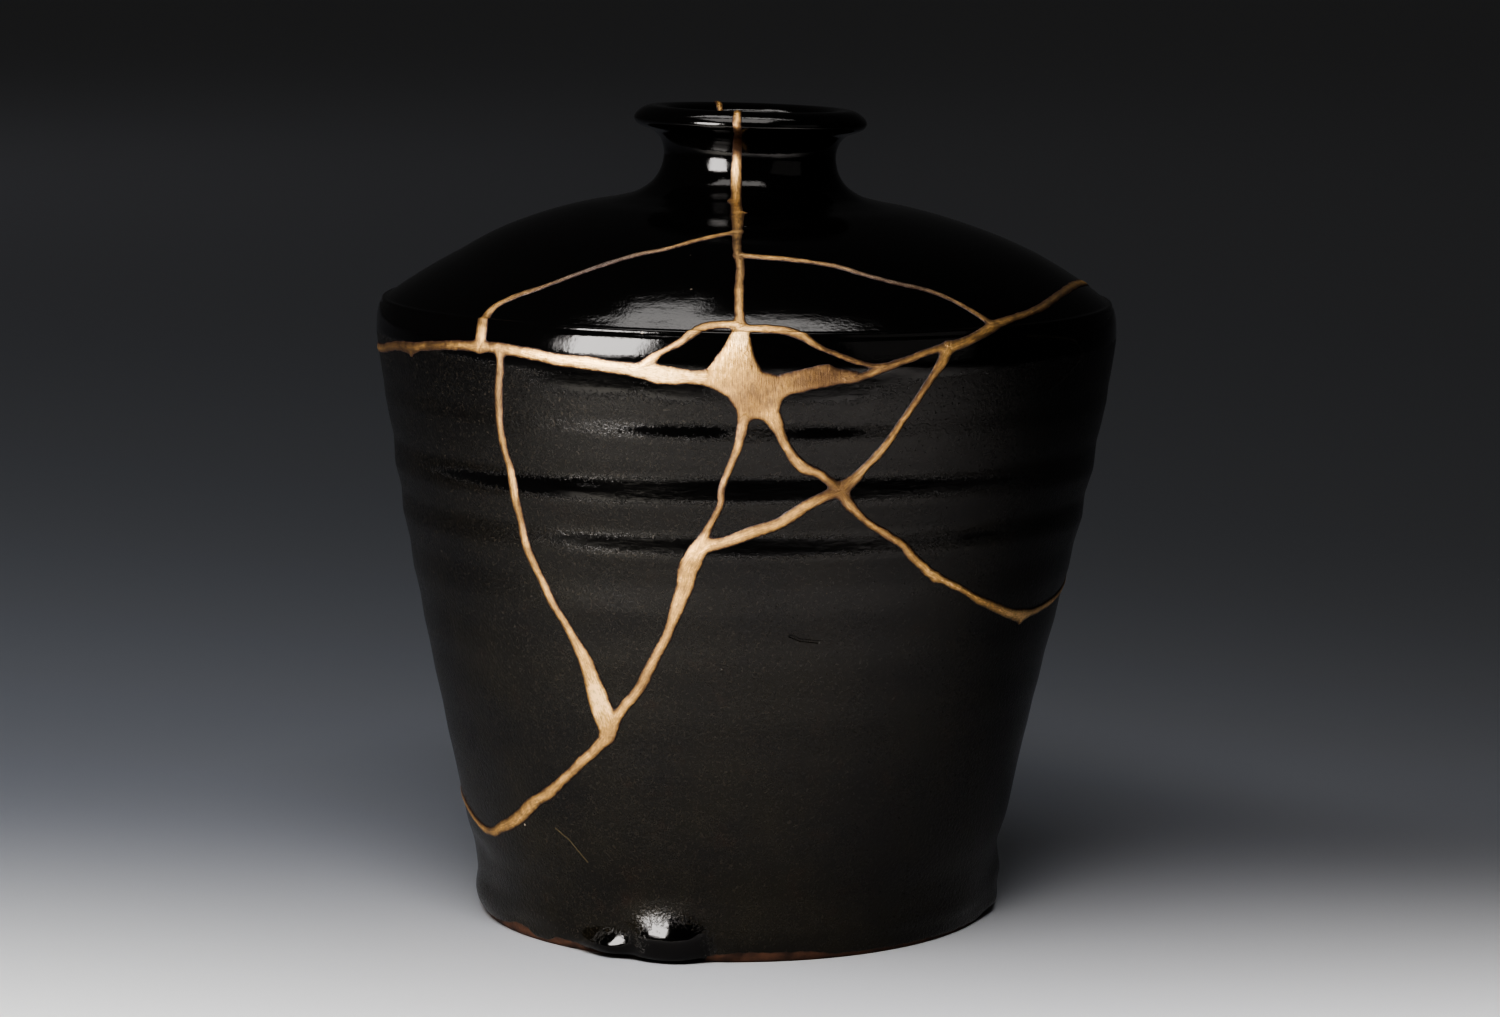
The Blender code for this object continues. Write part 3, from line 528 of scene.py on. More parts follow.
# For every chart point near a crack: distance to the line less half its width there, the length
# along it and the distance to its side. Chart x is angle times chartRadius, shrunk to the true radius.
def crackField(route, xs, ys, scale):
    fine = smoothCurve(route, goldSeams["fineness"])
    cx, cy, half = np.radians(fine[:, 0]) * goldSeams["chartRadius"], fine[:, 1], fine[:, 2] / 2
    gap = np.full((len(ys), len(xs)), goldSeams["far"])
    along, side = np.zeros_like(gap), np.zeros_like(gap)
    run = 0.0
    for k in range(len(fine) - 1):
        tall = half[k] + goldSeams["margin"]
        wide = tall / min(np.interp(cy[k:k + 2], ys, scale))
        i0, i1 = np.searchsorted(xs, [min(cx[k:k + 2]) - wide, max(cx[k:k + 2]) + wide])
        j0, j1 = np.searchsorted(ys, [min(cy[k:k + 2]) - tall, max(cy[k:k + 2]) + tall])
        shrink = scale[j0:j1, None]
        px, py = (xs[None, i0:i1] - cx[k]) * shrink, ys[j0:j1, None] - cy[k]
        dx, dy = (cx[k + 1] - cx[k]) * shrink, cy[k + 1] - cy[k]
        size = dx * dx + dy * dy + 1e-12
        t = np.clip((px * dx + py * dy) / size, 0.0, 1.0)
        d = np.hypot(px - t * dx, py - t * dy) - (half[k] + t * (half[k + 1] - half[k]))
        window = (slice(j0, j1), slice(i0, i1))
        closer = d < gap[window]
        gap[window] = np.where(closer, d, gap[window])
        along[window] = np.where(closer, run + t * np.sqrt(size), along[window])
        side[window] = np.where(closer, (px * dy - py * dx) / np.sqrt(size), side[window])
        run += math.hypot((cx[k + 1] - cx[k]) * np.interp(cy[k], ys, scale), dy)
    return gap, along, side


# Signed distance to the star's rim: nearest edge, negative where a ray to the right crosses an odd number.
def starField(xs, ys, scale):
    rim = np.array(goldSeams["star"], float)
    rim[:, 0] = np.radians(rim[:, 0]) * goldSeams["chartRadius"]
    gap = np.full((len(ys), len(xs)), goldSeams["far"])
    low, high = rim.min(axis=0) - goldSeams["starMargin"], rim.max(axis=0) + goldSeams["starMargin"]
    i0, i1 = np.searchsorted(xs, [low[0], high[0]])
    j0, j1 = np.searchsorted(ys, [low[1], high[1]])
    x, y, shrink = xs[None, i0:i1], ys[j0:j1, None], scale[j0:j1, None]
    inside = np.zeros((j1 - j0, i1 - i0), bool)
    nearest = np.full((j1 - j0, i1 - i0), goldSeams["far"])
    for (ax, ay), (bx, by) in zip(rim, np.roll(rim, -1, axis=0)):
        px, py, dx, dy = (x - ax) * shrink, y - ay, (bx - ax) * shrink, by - ay
        t = np.clip((px * dx + py * dy) / (dx * dx + dy * dy), 0.0, 1.0)
        nearest = np.minimum(nearest, np.hypot(px - t * dx, py - t * dy))
        if ay != by:
            crosses = ((ay > y) != (by > y)) & (x < (bx - ax) * (y - ay) / (by - ay) + ax)
            inside ^= crosses
    gap[j0:j1, i0:i1] = np.where(inside, -nearest, nearest)
    return gap


# All lines and the star joined into one distance map, then small blobs and ragged edges.
def goldField():
    radius = goldSeams["chartRadius"]
    ends = math.pi * radius - goldSeams["chartGap"]
    xs = np.arange(-ends, ends, goldSeams["cell"])
    ys = np.arange(*goldSeams["chartTape"], goldSeams["cell"])
    scale = np.interp(ys, tapeAlong, outline[:, 0]) / radius
    total = np.full((len(ys), len(xs)), goldSeams["far"])
    along, side = np.zeros_like(total), np.zeros_like(total)
    fields = [crackField(route, xs, ys, scale) for route in goldSeams["cracks"].values()]
    fields.append((starField(xs, ys, scale), ys[:, None], xs[None, :]))
    for gap, length, off in fields:
        closer = gap < total
        along, side = np.where(closer, length, along), np.where(closer, off, side)
        total = softMin(total, gap, goldSeams["fillet"])
    for degrees, tape, size in goldSeams["blobs"]:
        away = np.hypot((xs[None, :] - math.radians(degrees) * radius) * scale[:, None], ys[:, None] - tape)
        total = softMin(total, away - size, goldSeams["fillet"])
    rough = layeredNoise(xs[None, :] * scale[:, None], ys[:, None], goldSeams["ragged"])
    return xs, ys, scale, total + goldSeams["raggedness"] * rough, along, side


# Chart cells whose middle is inside the edge, filled up where two of them would meet at a corner alone.
def cellsInside(field):
    keep = 0.25 * (field[:-1, :-1] + field[1:, :-1] + field[:-1, 1:] + field[1:, 1:]) < 0.0
    for _ in range(3):
        rising = keep[:-1, :-1] & keep[1:, 1:] & ~keep[1:, :-1] & ~keep[:-1, 1:]
        falling = ~keep[:-1, :-1] & ~keep[1:, 1:] & keep[1:, :-1] & keep[:-1, 1:]
        keep[1:, :-1] |= rising
        keep[1:, 1:] |= falling
    return keep


# Points on the rim slide down the slope of the distance map onto the edge, by less than half a cell.
def slideOntoEdge(xs, ys, scale, field, edge):
    slopeY, slopeX = np.gradient(field, goldSeams["cell"])
    slopeX = slopeX / scale[:, None]
    steep = slopeX ** 2 + slopeY ** 2 + 0.05      # never nought, so it can be divided by
    limit = 0.45 * goldSeams["cell"]
    moveX = np.clip(-field * slopeX / steep, -limit, limit) * edge / scale[:, None]
    moveY = np.clip(-field * slopeY / steep, -limit, limit) * edge
    return xs[None, :] + np.clip(moveX, -limit, limit), ys[:, None] + moveY


# The gilt rises from its rim to its crown as one less a falling exponential, with brush marks on it.
def giltHeight(inward, along, side):
    height = goldSeams["rim"] + goldSeams["crown"] * (1.0 - np.exp(-inward / goldSeams["rounding"]))
    brush = layeredNoise(along, side, goldSeams["brushed"])
    return height + goldSeams["brushMarks"] * brush * np.minimum(inward, 1.0)


# The piece's own map: u is the length along a line and v the distance to its side.
def layStrokes(piece, along, side):
    corner = np.empty(len(piece.data.loops), np.int32)
    piece.data.loops.foreach_get("vertex_index", corner)
    pairs = np.stack([along * goldSeams["strokeScale"], side * goldSeams["strokeScale"] + 0.5], axis=1)
    strokes = piece.data.uv_layers.new(name="strokes")
    strokes.data.foreach_set("uv", pairs[corner % len(along)].astype(np.float32).ravel())


# The kept cells become a sheet with a domed top, a side and an under face, wrapped round the wall.
def makeGoldSeams():
    xs, ys, scale, field, along, side = goldField()
    keep = cellsInside(field)
    padded = np.pad(keep, 1)
    around = [padded[:-1, :-1], padded[1:, :-1], padded[:-1, 1:], padded[1:, 1:]]
    used = np.logical_or.reduce(around)
    edge = used & ~np.logical_and.reduce(around)
    chartX, chartY = slideOntoEdge(xs, ys, scale, field, edge)
    inward = np.where(edge, 0.0, np.maximum(-field, 0.0))
    top = giltHeight(inward, along, side)
    row, col = np.nonzero(used)
    count = len(row)
    index = np.full(used.shape, -1)
    index[row, col] = np.arange(count)
    angle, tape = chartX[row, col] / goldSeams["chartRadius"], chartY[row, col]
    wall = relief(angle, tape)
    upper = onWall(angle, tape, wall + top[row, col]) * mm
    lower = onWall(angle, tape, wall - goldSeams["depth"]) * mm
    j, i = np.nonzero(keep)
    a, b, c, d = index[j, i], index[j, i + 1], index[j + 1, i + 1], index[j + 1, i]
    faces = [np.stack([a, b, c, d], axis=1), np.stack([a, d, c, b], axis=1) + count]
    # an upright face wherever a cell has no neighbour
    sides = [(padded[j, i + 1], a, b), (padded[j + 1, i + 2], b, c),
             (padded[j + 2, i + 1], c, d), (padded[j + 1, i], d, a)]
    for neighbour, first, second in sides:
        f, s = first[~neighbour], second[~neighbour]
        faces.append(np.stack([s, f, f + count, s + count], axis=1))
    seams = meshObject("goldSeams", np.concatenate([upper, lower]), np.concatenate(faces))
    pointValues(seams, "edgeDistance", np.concatenate([inward[row, col], np.zeros(count)]))
    degrees = np.degrees(angle)
    # wear together with painted highlights and painted shade, spot by spot
    pointValues(seams, "wearAndPaintedLight", np.tile(softSpots(goldSeams["wearAndPaintedLight"], degrees, tape), 2))
    pointValues(seams, "dulled", np.tile(softSpots(goldSeams["dulled"], degrees, tape, np.maximum), 2))
    layStrokes(seams, along[row, col], side[row, col])
    return seams


# A node with its fixed settings and the links into its sockets, all in one call.
def node(tree, kind, settings=None, links=None, **attributes):
    made = tree.nodes.new(kind)
    for name, value in attributes.items():
        setattr(made, name, value)
    for socket, value in (settings or {}).items():
        made.inputs[socket].default_value = value
    for socket, source in (links or {}).items():
        tree.links.new(source, made.inputs[socket])
    return made


# A colour ramp with the given (place, colour) stops.
def ramp(tree, source, stops):
    made = node(tree, "ShaderNodeValToRGB", links={"Fac": source})
    while len(made.color_ramp.elements) < len(stops):
        made.color_ramp.elements.new(0.5)
    for element, (at, colour) in zip(made.color_ramp.elements, stops):
        element.position = at
        element.color = (*colour, 1.0)
    return made.outputs["Color"]


def newMaterial(name):
    material = bpy.data.materials.new(name)
    material.use_nodes = True
    return material, material.node_tree, material.node_tree.nodes["Principled BSDF"]


def attribute(tree, name):
    return node(tree, "ShaderNodeAttribute", attribute_name=name).outputs["Fac"]


# A finish's noise field by its name, read in the given space.
def cloud(tree, look, name, space):
    scale, detail, rough = look["clouds"][name]
    settings = {"Scale": scale, "Detail": detail, "Roughness": rough}
    return node(tree, "ShaderNodeTexNoise", settings, {"Vector": space}).outputs["Fac"]


# A value carried evenly from one range to another, and held at its ends; the ranges go by name.
def ranged(tree, look, name, value):
    low, high, toLow, toHigh = look["ranges"][name]
    settings = {"From Min": low, "From Max": high, "To Min": toLow, "To Max": toHigh}
    return node(tree, "ShaderNodeMapRange", settings, {"Value": value}).outputs["Result"]


def plus(tree, first, second):
    return node(tree, "ShaderNodeMath", links={0: first, 1: second}, operation="ADD").outputs[0]


def times(tree, first, second):
    return node(tree, "ShaderNodeMath", links={0: first, 1: second}, operation="MULTIPLY").outputs[0]


# A value times a fixed number, and another value added.
def timesPlus(tree, value, number, added):
    links = {0: value, 2: added}
    return node(tree, "ShaderNodeMath", {1: number}, links, operation="MULTIPLY_ADD").outputs[0]


# Two colours, or two numbers where the kind is FLOAT, mixed by a factor; each is fixed or a socket.
def blend(tree, factor, first, second, kind="RGBA"):
    made = node(tree, "ShaderNodeMix", data_type=kind)
    for socket, source in (("Factor", factor), ("A", first), ("B", second)):
        if isinstance(source, tuple):
            made.inputs[socket].default_value = (*source, 1.0)
        elif isinstance(source, float):
            made.inputs[socket].default_value = source
        else:
            tree.links.new(source, made.inputs[socket])
    return made.outputs["Result"]


# Heights laid over each other as bumps, each with its depth in metres.
def bumps(tree, layers):
    normal = None
    for height, depth in layers:
        links = {"Height": height} if normal is None else {"Height": height, "Normal": normal}
        normal = node(tree, "ShaderNodeBump", {"Strength": 1.0, "Distance": depth}, links).outputs["Normal"]
    return normal


# Distance to a run of straight pieces on the wall: each piece's nearest point is its start plus the
# clamped share of its length that the place projects to; the smallest distance is kept.
def lineDistance(tree, place, marks):
    angle, tape = np.radians([m[0] for m in marks]), np.array([m[1] for m in marks], float)
    spots = onWall(angle, tape, relief(angle, tape)) * mm
    nearest = None
    for start, end in zip(spots[:-1], spots[1:]):
        along = end - start
        share = along / np.dot(along, along)
        offset = node(tree, "ShaderNodeVectorMath", {1: start}, {0: place}, operation="SUBTRACT").outputs[0]
        dot = node(tree, "ShaderNodeVectorMath", {1: share}, {0: offset}, operation="DOT_PRODUCT")
        held = node(tree, "ShaderNodeClamp", links={"Value": dot.outputs["Value"]}).outputs[0]
        foot = node(tree, "ShaderNodeVectorMath", {0: along}, {"Scale": held}, operation="SCALE")
        gap = node(tree, "ShaderNodeVectorMath", links={0: offset, 1: foot.outputs[0]}, operation="DISTANCE")
        gap = gap.outputs["Value"]
        if nearest is None:
            nearest = gap
        else:
            nearest = node(tree, "ShaderNodeMath", links={0: nearest, 1: gap}, operation="MINIMUM").outputs[0]
    return nearest


glazeLook = {
    "black": (0.0025, 0.0023, 0.0022),
    "satinBlack": (0.0028, 0.0025, 0.0023),
    "oliveBrown": (0.0100, 0.0082, 0.0045),
    "rust": (0.0150, 0.0075, 0.0040),
    "dust": (0.026, 0.021, 0.015),
    "speck": (0.22, 0.18, 0.14),
    "scratch": (0.060, 0.045, 0.022),
    "clay": (0.078, 0.034, 0.018),
    "clayDark": (0.018, 0.008, 0.005),
    "tint": (1.0, 0.955, 0.925),
    "specular": 0.36,
    # roughness of the pooled glaze and of bare clay
    "gloss": 0.085,
    "clayRough": 0.75,
    # noise fields: scale, detail, roughness
    "clouds": {
        "olive": (34.0, 5.0, 0.62), "rust": (90.0, 4.0, 0.6), "dust": (1200.0, 2.0, 0.7),
        "clay": (160.0, 4.0, 0.55), "clayEdge": (420.0, 3.0, 0.55), "poolEdge": (1000.0, 3.0, 0.75),
        "satin": (48.0, 5.0, 0.6), "speckled": (1500.0, 2.0, 0.6), "pimples": (60.0, 3.0, 0.55),
        "rings": (260.0, 4.0, 0.6), "peel": (190.0, 2.0, 0.55), "grain": (900.0, 3.0, 0.65),
    },
    # ranges: from low, from high, to low, to high
    "ranges": {
        "footward": (0.20, 0.02, 0.0, 1.0),       # height, metres: brown sets in, and is full
        "olive": (0.36, 0.66, 0.15, 1.0),
        "rust": (0.58, 0.76, 0.0, 0.7),
        "dust": (0.54, 0.72, 0.0, 1.0),
        "dustLeft": (0.09, -0.06, 0.3, 1.0),      # dustier towards the left
        "clayEdge": (0.45, 1.15, 0.0, 1.0),
        "poolEdge": (3.3, 3.8, 0.0, 1.0),
        "satin": (0.35, 0.65, 0.18, 0.26),
        "sheen": (-1.0, 1.0, 2.0, 0.0),
        "speckled": (0.3, 0.7, -0.07, 0.09),
        "specks": (0.040, 0.015, 0.0, 1.0),
        "chosenSpecks": (0.80, 0.82, 0.0, 1.0),
        "specksLeft": (0.0, -0.03, 0.0, 1.0),
        "scratch": (0.00035, 0.0001, 0.0, 1.0),   # distance to the mark's middle, metres
        "nick": (0.0006, 0.0002, 0.0, 1.0),
        "lap": (0.0009, 0.0, 0.0, 1.0),
        "lapDust": (0.3, 1.0, 0.0, 0.6),
        "pimples": (0.10, 0.0, 0.0, 1.0),
        "chosenPimples": (0.60, 0.64, 0.0, 1.0),
        "smoothPools": (0.0, 1.0, 1.0, 0.12),     # grain left in the pools and on the smoother satin
        "smoothSheen": (0.1, 0.5, 1.0, 0.25),
    },
    "clayRagged": 1.6,       # how far the clouds shift the borders of the clay and of the pools
    "poolRagged": 7.0,
    "speckCells": 75.0,
    "pimpleCells": 120.0,
    "ringDrift": 0.12,       # how slowly the throwing rings change round the jar
    # depths of the surface's marks, metres
    "depths": {"pimples": 0.0004, "lap": 0.00012, "nick": -0.0004, "rings": 0.00005, "peel": 0.000055,
               "grain": 0.00026},
    # thin marks, each a run of (degrees, tape)
    "scratchLine": [(-38.3, 42.7), (-35.1, 39.3), (-31.3, 32.4)],
    "nickLine": [(8.3, 113.5), (10.1, 112.0), (13.2, 111.2)],
    "lapLine": [(46.0, 208.0), (54.2, 206.3), (58.5, 204.3), (61.1, 199.3), (57.3, 194.4), (52.0, 189.5)],
}


# Glossy in the pools with a grainy border, satin elsewhere, matt on bare clay: how glossy it is, how
# far the glaze covers the clay, and the roughness.
def glazeGloss(tree, place):
    look = glazeLook
    pools = cloud(tree, look, "poolEdge", place)
    pools = timesPlus(tree, pools, look["poolRagged"], attribute(tree, "pooled"))
    glossy = ranged(tree, look, "poolEdge", pools)
    edge = cloud(tree, look, "clayEdge", place)
    edge = timesPlus(tree, edge, look["clayRagged"], attribute(tree, "glazeEdge"))
    cover = ranged(tree, look, "clayEdge", edge)
    satin = ranged(tree, look, "satin", cloud(tree, look, "satin", place))
    satin = times(tree, satin, ranged(tree, look, "sheen", attribute(tree, "sheen")))
    satin = plus(tree, satin, ranged(tree, look, "speckled", cloud(tree, look, "speckled", place)))
    shine = blend(tree, glossy, satin, look["gloss"], "FLOAT")
    return glossy, cover, blend(tree, cover, look["clayRough"], shine, "FLOAT")


# Black, with olive brown and a little rust towards the foot, fine dust, a few pale specks at the
# left, one scratch near the foot and the dusty lap of a second coat.
def glazeColour(tree, place, parts, glossy, lap):
    look = glazeLook
    low = ranged(tree, look, "footward", parts["Z"])
    olive = times(tree, low, ranged(tree, look, "olive", cloud(tree, look, "olive", place)))
    colour = blend(tree, olive, look["satinBlack"], look["oliveBrown"])
    rust = times(tree, low, ranged(tree, look, "rust", cloud(tree, look, "rust", place)))
    colour = blend(tree, rust, colour, look["rust"])
    dust = ranged(tree, look, "dust", cloud(tree, look, "dust", place))
    dust = times(tree, dust, ranged(tree, look, "dustLeft", parts["X"]))
    colour = blend(tree, dust, colour, look["dust"])
    colour = blend(tree, glossy, colour, look["black"])
    cell = node(tree, "ShaderNodeTexVoronoi", {"Scale": look["speckCells"]}, {"Vector": place}).outputs
    chosen = node(tree, "ShaderNodeSeparateColor", links={0: cell["Color"]}).outputs[0]
    speck = ranged(tree, look, "specks", cell["Distance"])
    speck = times(tree, speck, ranged(tree, look, "chosenSpecks", chosen))
    speck = times(tree, speck, ranged(tree, look, "specksLeft", parts["X"]))
    colour = blend(tree, speck, colour, look["speck"])
    scratch = ranged(tree, look, "scratch", lineDistance(tree, place, look["scratchLine"]))
    colour = blend(tree, scratch, colour, look["scratch"])
    return blend(tree, ranged(tree, look, "lapDust", lap), colour, look["dust"])


# Pimples, the lap, a nick, throwing rings that are fine across the wall and long drawn out round
# it, orange peel, and a grain that is lost in the pools.
def glazeSurface(tree, place, parts, glossy, lap):
    look = glazeLook
    cells = node(tree, "ShaderNodeTexVoronoi", {"Scale": look["pimpleCells"]}, {"Vector": place}).outputs
    pimples = ranged(tree, look, "pimples", cells["Distance"])
    pimples = times(tree, pimples, ranged(tree, look, "chosenPimples", cloud(tree, look, "pimples", place)))
    nick = ranged(tree, look, "nick", lineDistance(tree, place, look["nickLine"]))
    flat = node(tree, "ShaderNodeCombineXYZ", links={"X": parts["X"], "Y": parts["Y"]}).outputs[0]
    radius = node(tree, "ShaderNodeVectorMath", links={0: flat}, operation="LENGTH").outputs["Value"]
    slow = node(tree, "ShaderNodeMath", {1: look["ringDrift"]}, {0: parts["X"]}, operation="MULTIPLY")
    around = {"X": radius, "Y": parts["Z"], "Z": slow.outputs[0]}
    ringSpace = node(tree, "ShaderNodeCombineXYZ", links=around).outputs[0]
    smooth = times(tree, ranged(tree, look, "smoothPools", glossy),
                   ranged(tree, look, "smoothSheen", attribute(tree, "sheen")))
    heights = {
        "pimples": pimples,
        "lap": lap,
        "nick": nick,
        "rings": cloud(tree, look, "rings", ringSpace),
        "peel": cloud(tree, look, "peel", place),
        "grain": times(tree, cloud(tree, look, "grain", place), smooth),
    }
    return bumps(tree, [(height, look["depths"][name]) for name, height in heights.items()])


def glazeMaterial():
    material, tree, shader = newMaterial("blackGlaze")
    place = node(tree, "ShaderNodeTexCoord").outputs["Object"]
    parts = node(tree, "ShaderNodeSeparateXYZ", links={0: place}).outputs
    glossy, cover, rough = glazeGloss(tree, place)
    lap = ranged(tree, glazeLook, "lap", lineDistance(tree, place, glazeLook["lapLine"]))
    colour = glazeColour(tree, place, parts, glossy, lap)
    clayShades = [(0.35, glazeLook["clayDark"]), (0.65, glazeLook["clay"])]
    clay = ramp(tree, cloud(tree, glazeLook, "clay", place), clayShades)
    tree.links.new(blend(tree, cover, clay, colour), shader.inputs["Base Color"])
    tree.links.new(rough, shader.inputs["Roughness"])
    tree.links.new(glazeSurface(tree, place, parts, glossy, lap), shader.inputs["Normal"])
    shader.inputs["Specular IOR Level"].default_value = glazeLook["specular"]
    shader.inputs["Specular Tint"].default_value = (*glazeLook["tint"], 1.0)
    return material


goldLook = {
    # bright is reached mostly where painted highlights push the shade value up
    "bright": (1.0, 0.68, 0.34),
    "pale": (0.655, 0.395, 0.150),
    "deep": (0.285, 0.175, 0.092),
    "brown": (0.095, 0.053, 0.033),
    "dull": (0.18, 0.152, 0.135),
    "lacquer": (0.020, 0.0055, 0.003),
    "shades": [(0.36, "deep"), (0.64, "pale"), (0.80, "bright")],
    "wearAndLight": -0.35,                      # what the full amount of wear and painted light adds to the shade value
    "streaks": (35.0, 240.0, 1.0),      # how fine the streaks are along and across a line
    # noise fields: scale, detail, roughness
    "clouds": {
        "streaks": (1.0, 4.0, 0.65), "mottling": (300.0, 5.0, 0.7), "flecks": (850.0, 2.0, 0.6),
        "thin": (75.0, 4.0, 0.6), "frayed": (620.0, 3.0, 0.6), "grit": (1500.0, 2.0, 0.55),
    },
    # ranges: from low, from high, to low, to high
    "ranges": {
        "mottled": (0.2, 0.8, 0.05, 0.95),
        "crest": (0.7, 1.7, 0.0, 0.09),         # painted highlight: paler in a wide line's middle, by distance to its edge
        "flecks": (0.58, 0.72, 0.0, 0.55),
        "thin": (0.62, 1.35, 0.0, 1.15),
        # browner towards the edge: the lacquer showing through, widened as painted shade along the edge
        "browned": (-0.35, 0.70, 0.15, 1.0),
        "gilt": (-0.42, -0.05, 0.0, 1.0),
        "metallic": (0.0, 1.0, 0.0, 0.9),
        "roughness": (0.3, 0.7, 0.36, 0.56),
    },
    "strokeDepth": 0.00038,  # metres
    "gritDepth": 0.00006,
}


# Powder over dark red lacquer, streaked along each line and mottled. It is browner where it is rubbed thin,
# greyer where it has dulled, and its frayed border shows the lacquer. Painted light is mixed in: painted
# highlights make some spots paler, and painted shade makes parts turned from the light browner.
def goldMaterial():
    look = goldLook
    material, tree, shader = newMaterial("giltLacquer")
    place = node(tree, "ShaderNodeTexCoord").outputs["Object"]
    strokes = node(tree, "ShaderNodeUVMap", uv_map="strokes").outputs["UV"]
    drawn = node(tree, "ShaderNodeMapping", {"Scale": look["streaks"]}, {"Vector": strokes}).outputs["Vector"]
    inward, wearAndPaintedLight = attribute(tree, "edgeDistance"), attribute(tree, "wearAndPaintedLight")
    mottling = cloud(tree, look, "mottling", place)
    both = blend(tree, 0.5, cloud(tree, look, "streaks", drawn), mottling, "FLOAT")
    # the spots carry wear together with painted highlights and painted shade
    shade = timesPlus(tree, wearAndPaintedLight, look["wearAndLight"], ranged(tree, look, "mottled", both))
    # a painted highlight: paler towards a wide line's middle
    shade = plus(tree, shade, ranged(tree, look, "crest", inward))
    gold = ramp(tree, shade, [(at, look[colour]) for at, colour in look["shades"]])
    flecks = ranged(tree, look, "flecks", cloud(tree, look, "flecks", place))
    gold = blend(tree, flecks, gold, look["deep"])
    thin = plus(tree, cloud(tree, look, "thin", place), wearAndPaintedLight)
    gold = blend(tree, ranged(tree, look, "thin", thin), gold, look["brown"])
    gold = blend(tree, attribute(tree, "dulled"), gold, look["dull"])
    frayed = timesPlus(tree, cloud(tree, look, "frayed", place), -1.0, inward)
    # browner towards the frayed edge: lacquer showing, and painted shade along the edge
    gold = blend(tree, ranged(tree, look, "browned", frayed), look["brown"], gold)
    cover = ranged(tree, look, "gilt", frayed)
    grit = cloud(tree, look, "grit", place)
    normal = bumps(tree, [(both, look["strokeDepth"]), (grit, look["gritDepth"])])
    tree.links.new(blend(tree, cover, look["lacquer"], gold), shader.inputs["Base Color"])
    tree.links.new(ranged(tree, look, "metallic", cover), shader.inputs["Metallic"])
    tree.links.new(ranged(tree, look, "roughness", mottling), shader.inputs["Roughness"])
    tree.links.new(normal, shader.inputs["Normal"])
    return material


stage = {
    "camera": (0.00463, -1.3662, 0.3332),
    "downward": 8.25,        # degrees
    "lens": 98.04,
    "floorShade": 0.80,
    "floorRough": 0.9,
    "floorSpecular": 0.1,
    "floorReach": 60.0,
    "air": (0.0320, 0.0320, 0.0326),
    # soft boxes for the jar: place, aimed at, width, height, brightness, roll in degrees, shape
    "jarLamps": {
        "keyCore": ((-0.73, -0.83, 0.5), (0.0, 0.0, 0.23), 0.47, 0.6, 17.5, 0, "RECTANGLE"),
        "keyHalo": ((-0.74, -0.84, 0.505), (0.0, 0.0, 0.23), 0.64, 0.8, 6.0, 0, "ELLIPSE"),
        "topLeft": ((-0.21, 0.215, 1.20), (-0.21, 0.215, 0.0), 0.23, 0.12, 4.0, -20, "RECTANGLE"),
        "stripLeft": ((-0.27, 0.160, 1.20), (-0.27, 0.160, 0.0), 0.56, 0.085, 5.0, -15, "ELLIPSE"),
        "stripRight": ((0.10, 0.075, 1.20), (0.10, 0.075, 0.0), 0.66, 0.085, 5.4, 2, "ELLIPSE"),
        "topFront": ((-0.12, -0.37, 1.20), (-0.12, -0.37, 0.0), 0.80, 0.66, 4.2, 0, "RECTANGLE"),
        "fillRight": ((1.5, -1.2, 0.7), (0.0, 0.0, 0.15), 1.4, 1.2, 0.36, 0, "RECTANGLE"),
    },
    # pools of light for the floor: place, aimed at, width, height, brightness, spread in degrees, tint
    "floorLamps": {
        "poolLeft": ((-0.62, -1.01, 1.2), (-0.4, -0.55, 0.0), 0.35, 0.35, 8.4, 36, (1.04, 1.02, 0.92)),
        "poolMid": ((-0.3, -0.55, 1.4), (-0.25, -0.4, 0.0), 0.7, 0.3, 0.8, 40, (0.96, 0.96, 1.08)),
        "poolRight": ((0.34, -0.7, 1.2), (0.34, -0.5, 0.0), 0.7, 0.3, 4.6, 40, (1.02, 1.0, 0.98)),
        "poolWide": ((-0.50, -0.60, 1.50), (-0.30, -0.35, 0.0), 0.60, 0.40, 0.30, 100, (1, 1, 1)),
        "poolBack": ((0.0, -1.2, 1.5), (0.0, -0.6, 0.0), 1.0, 0.4, 0.78, 60, (0.95, 0.97, 1.08)),
        "nearLeft": ((-0.8, -0.2, 1.2), (-0.55, 0.0, 0.0), 0.4, 0.4, 0.34, 70, (0.88, 0.96, 1.16)),
        "wideLeft": ((-1.4, 0.1, 1.6), (-0.9, 0.5, 0.0), 0.8, 0.8, 0.5, 120, (0.91, 0.97, 1.12)),
        "farLeft": ((-3.0, 3.0, 2.5), (-2.1, 4.0, 0.0), 2.0, 2.0, 0.19, 140, (0.94, 0.96, 1.1)),
    },
}


def makeCamera():
    lensData = bpy.data.cameras.new("camera")
    lensData.lens = stage["lens"]
    lensData.sensor_width = 36.0
    lensData.clip_start = 0.05
    camera = bpy.data.objects.new("camera", lensData)
    camera.location = stage["camera"]
    camera.rotation_euler = (math.radians(90.0 - stage["downward"]), 0.0, 0.0)
    bpy.context.scene.collection.objects.link(camera)
    bpy.context.scene.camera = camera


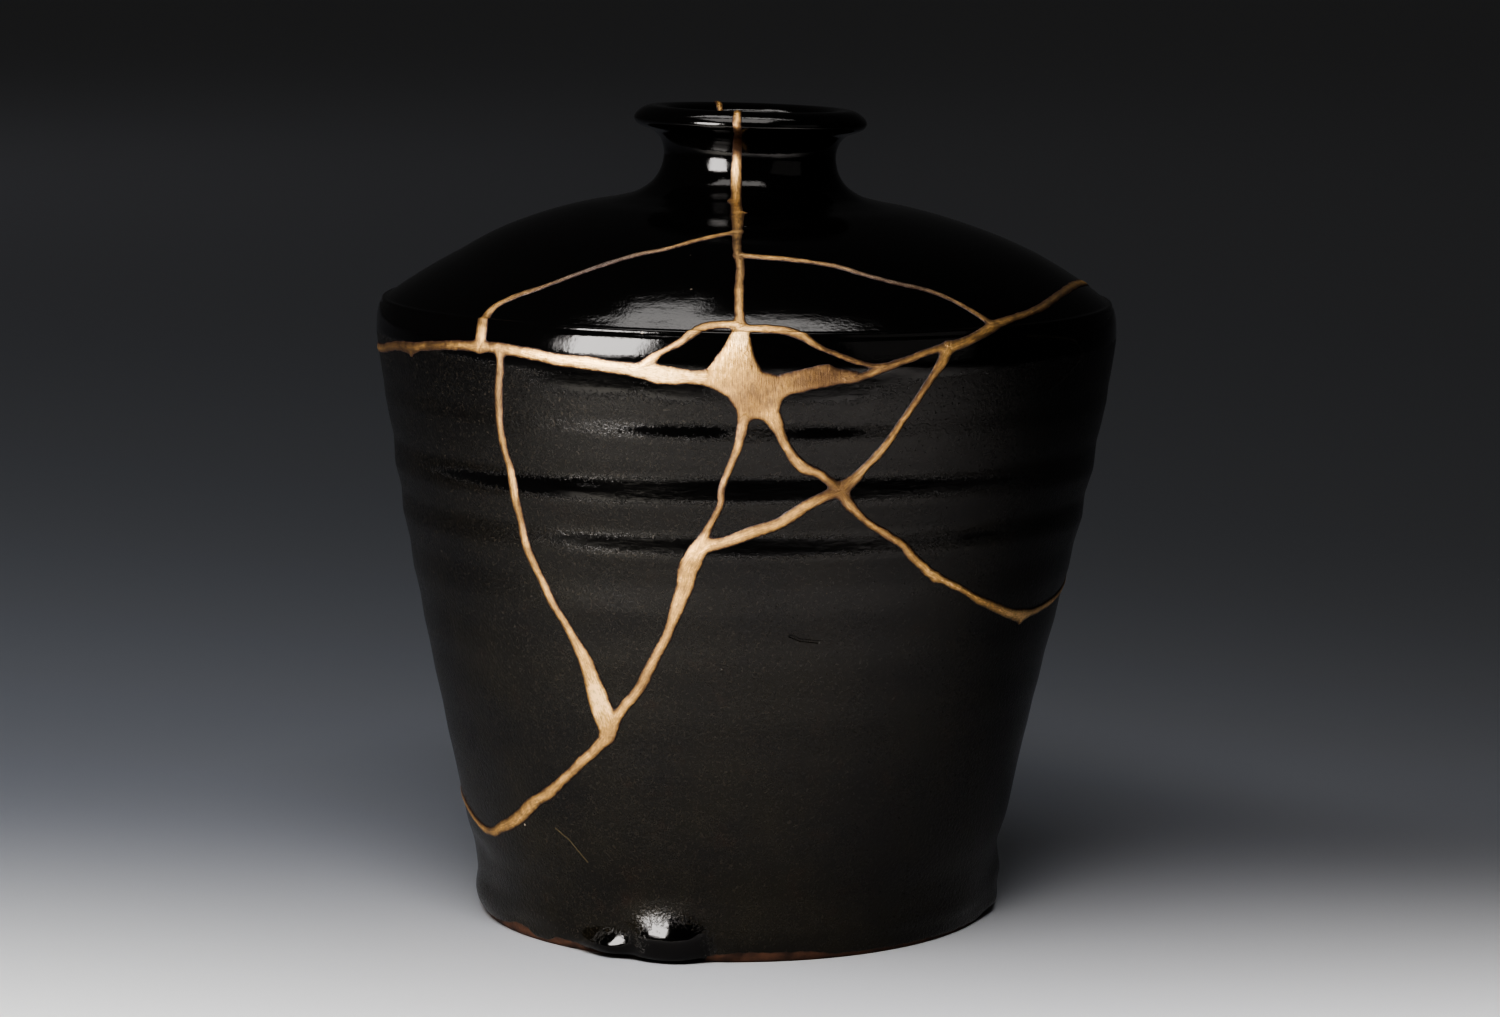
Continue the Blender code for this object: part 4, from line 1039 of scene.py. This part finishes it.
# One square, far wider than the view, so its far edge lies at the horizon.
def makeFloor():
    half = stage["floorReach"]
    corners = np.array([(-half, -half, 0), (half, -half, 0), (half, half, 0), (-half, half, 0)], float)
    floor = meshObject("floor", corners, np.array([[0, 1, 2, 3]]))
    material, tree, shader = newMaterial("paleFloor")
    shade = stage["floorShade"]
    shader.inputs["Base Color"].default_value = (shade, shade, shade, 1.0)
    shader.inputs["Roughness"].default_value = stage["floorRough"]
    shader.inputs["Specular IOR Level"].default_value = stage["floorSpecular"]
    floor.data.materials.append(material)
    return floor


def makeAir():
    world = bpy.data.worlds.new("studio")
    world.use_nodes = True
    world.node_tree.nodes["Background"].inputs["Color"].default_value = (*stage["air"], 1)
    bpy.context.scene.world = world
    bpy.context.scene.view_settings.look = "AgX - High Contrast"


# A lamp's power for a wanted brightness is brightness times its area times pi.
def addLamp(name, lit, place, target, width, height, bright,
            spread=180, roll=0, shape="RECTANGLE", tint=(1, 1, 1)):
    data = bpy.data.lights.new(name, "AREA")
    data.shape = shape
    data.size, data.size_y = width, height
    data.color = tint
    data.energy = bright * width * height * math.pi * (math.pi / 4 if shape == "ELLIPSE" else 1.0)
    data.spread = math.radians(spread)
    lamp = bpy.data.objects.new(name, data)
    lamp.location = place
    lamp.rotation_euler = (Vector(target) - lamp.location).to_track_quat("-Z", "Y").to_euler()
    lamp.rotation_euler.rotate_axis("Z", math.radians(roll))
    lamp.light_linking.receiver_collection = lit
    bpy.context.scene.collection.objects.link(lamp)


def litGroup(name, things):
    group = bpy.data.collections.new(name)
    for thing in things:
        group.objects.link(thing)
    return group


# The soft boxes light only the jar, and the pools of light only the floor.
def makeLamps(jarPieces, floorPieces):
    jarLit = litGroup("jarLit", jarPieces)
    floorLit = litGroup("floorLit", floorPieces)
    for name, (place, target, width, height, bright, roll, shape) in stage["jarLamps"].items():
        addLamp(name, jarLit, place, target, width, height, bright, roll=roll, shape=shape)
    for name, (place, target, width, height, bright, spread, tint) in stage["floorLamps"].items():
        addLamp(name, floorLit, place, target, width, height, bright, spread=spread, tint=tint)


makeCamera()
makeAir()
floor = makeFloor()
print("stage and camera ready")

body = makeJarBody()
body.data.materials.append(glazeMaterial())
print("jar body:", len(body.data.polygons), "faces")

seams = makeGoldSeams()
seams.data.materials.append(goldMaterial())
print("gold seams:", len(seams.data.polygons), "faces")

makeLamps([body, seams], [floor])
print("lamps ready")

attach(body, "root")
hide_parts("jar")
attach(seams, "root")
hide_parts("gold_seams")
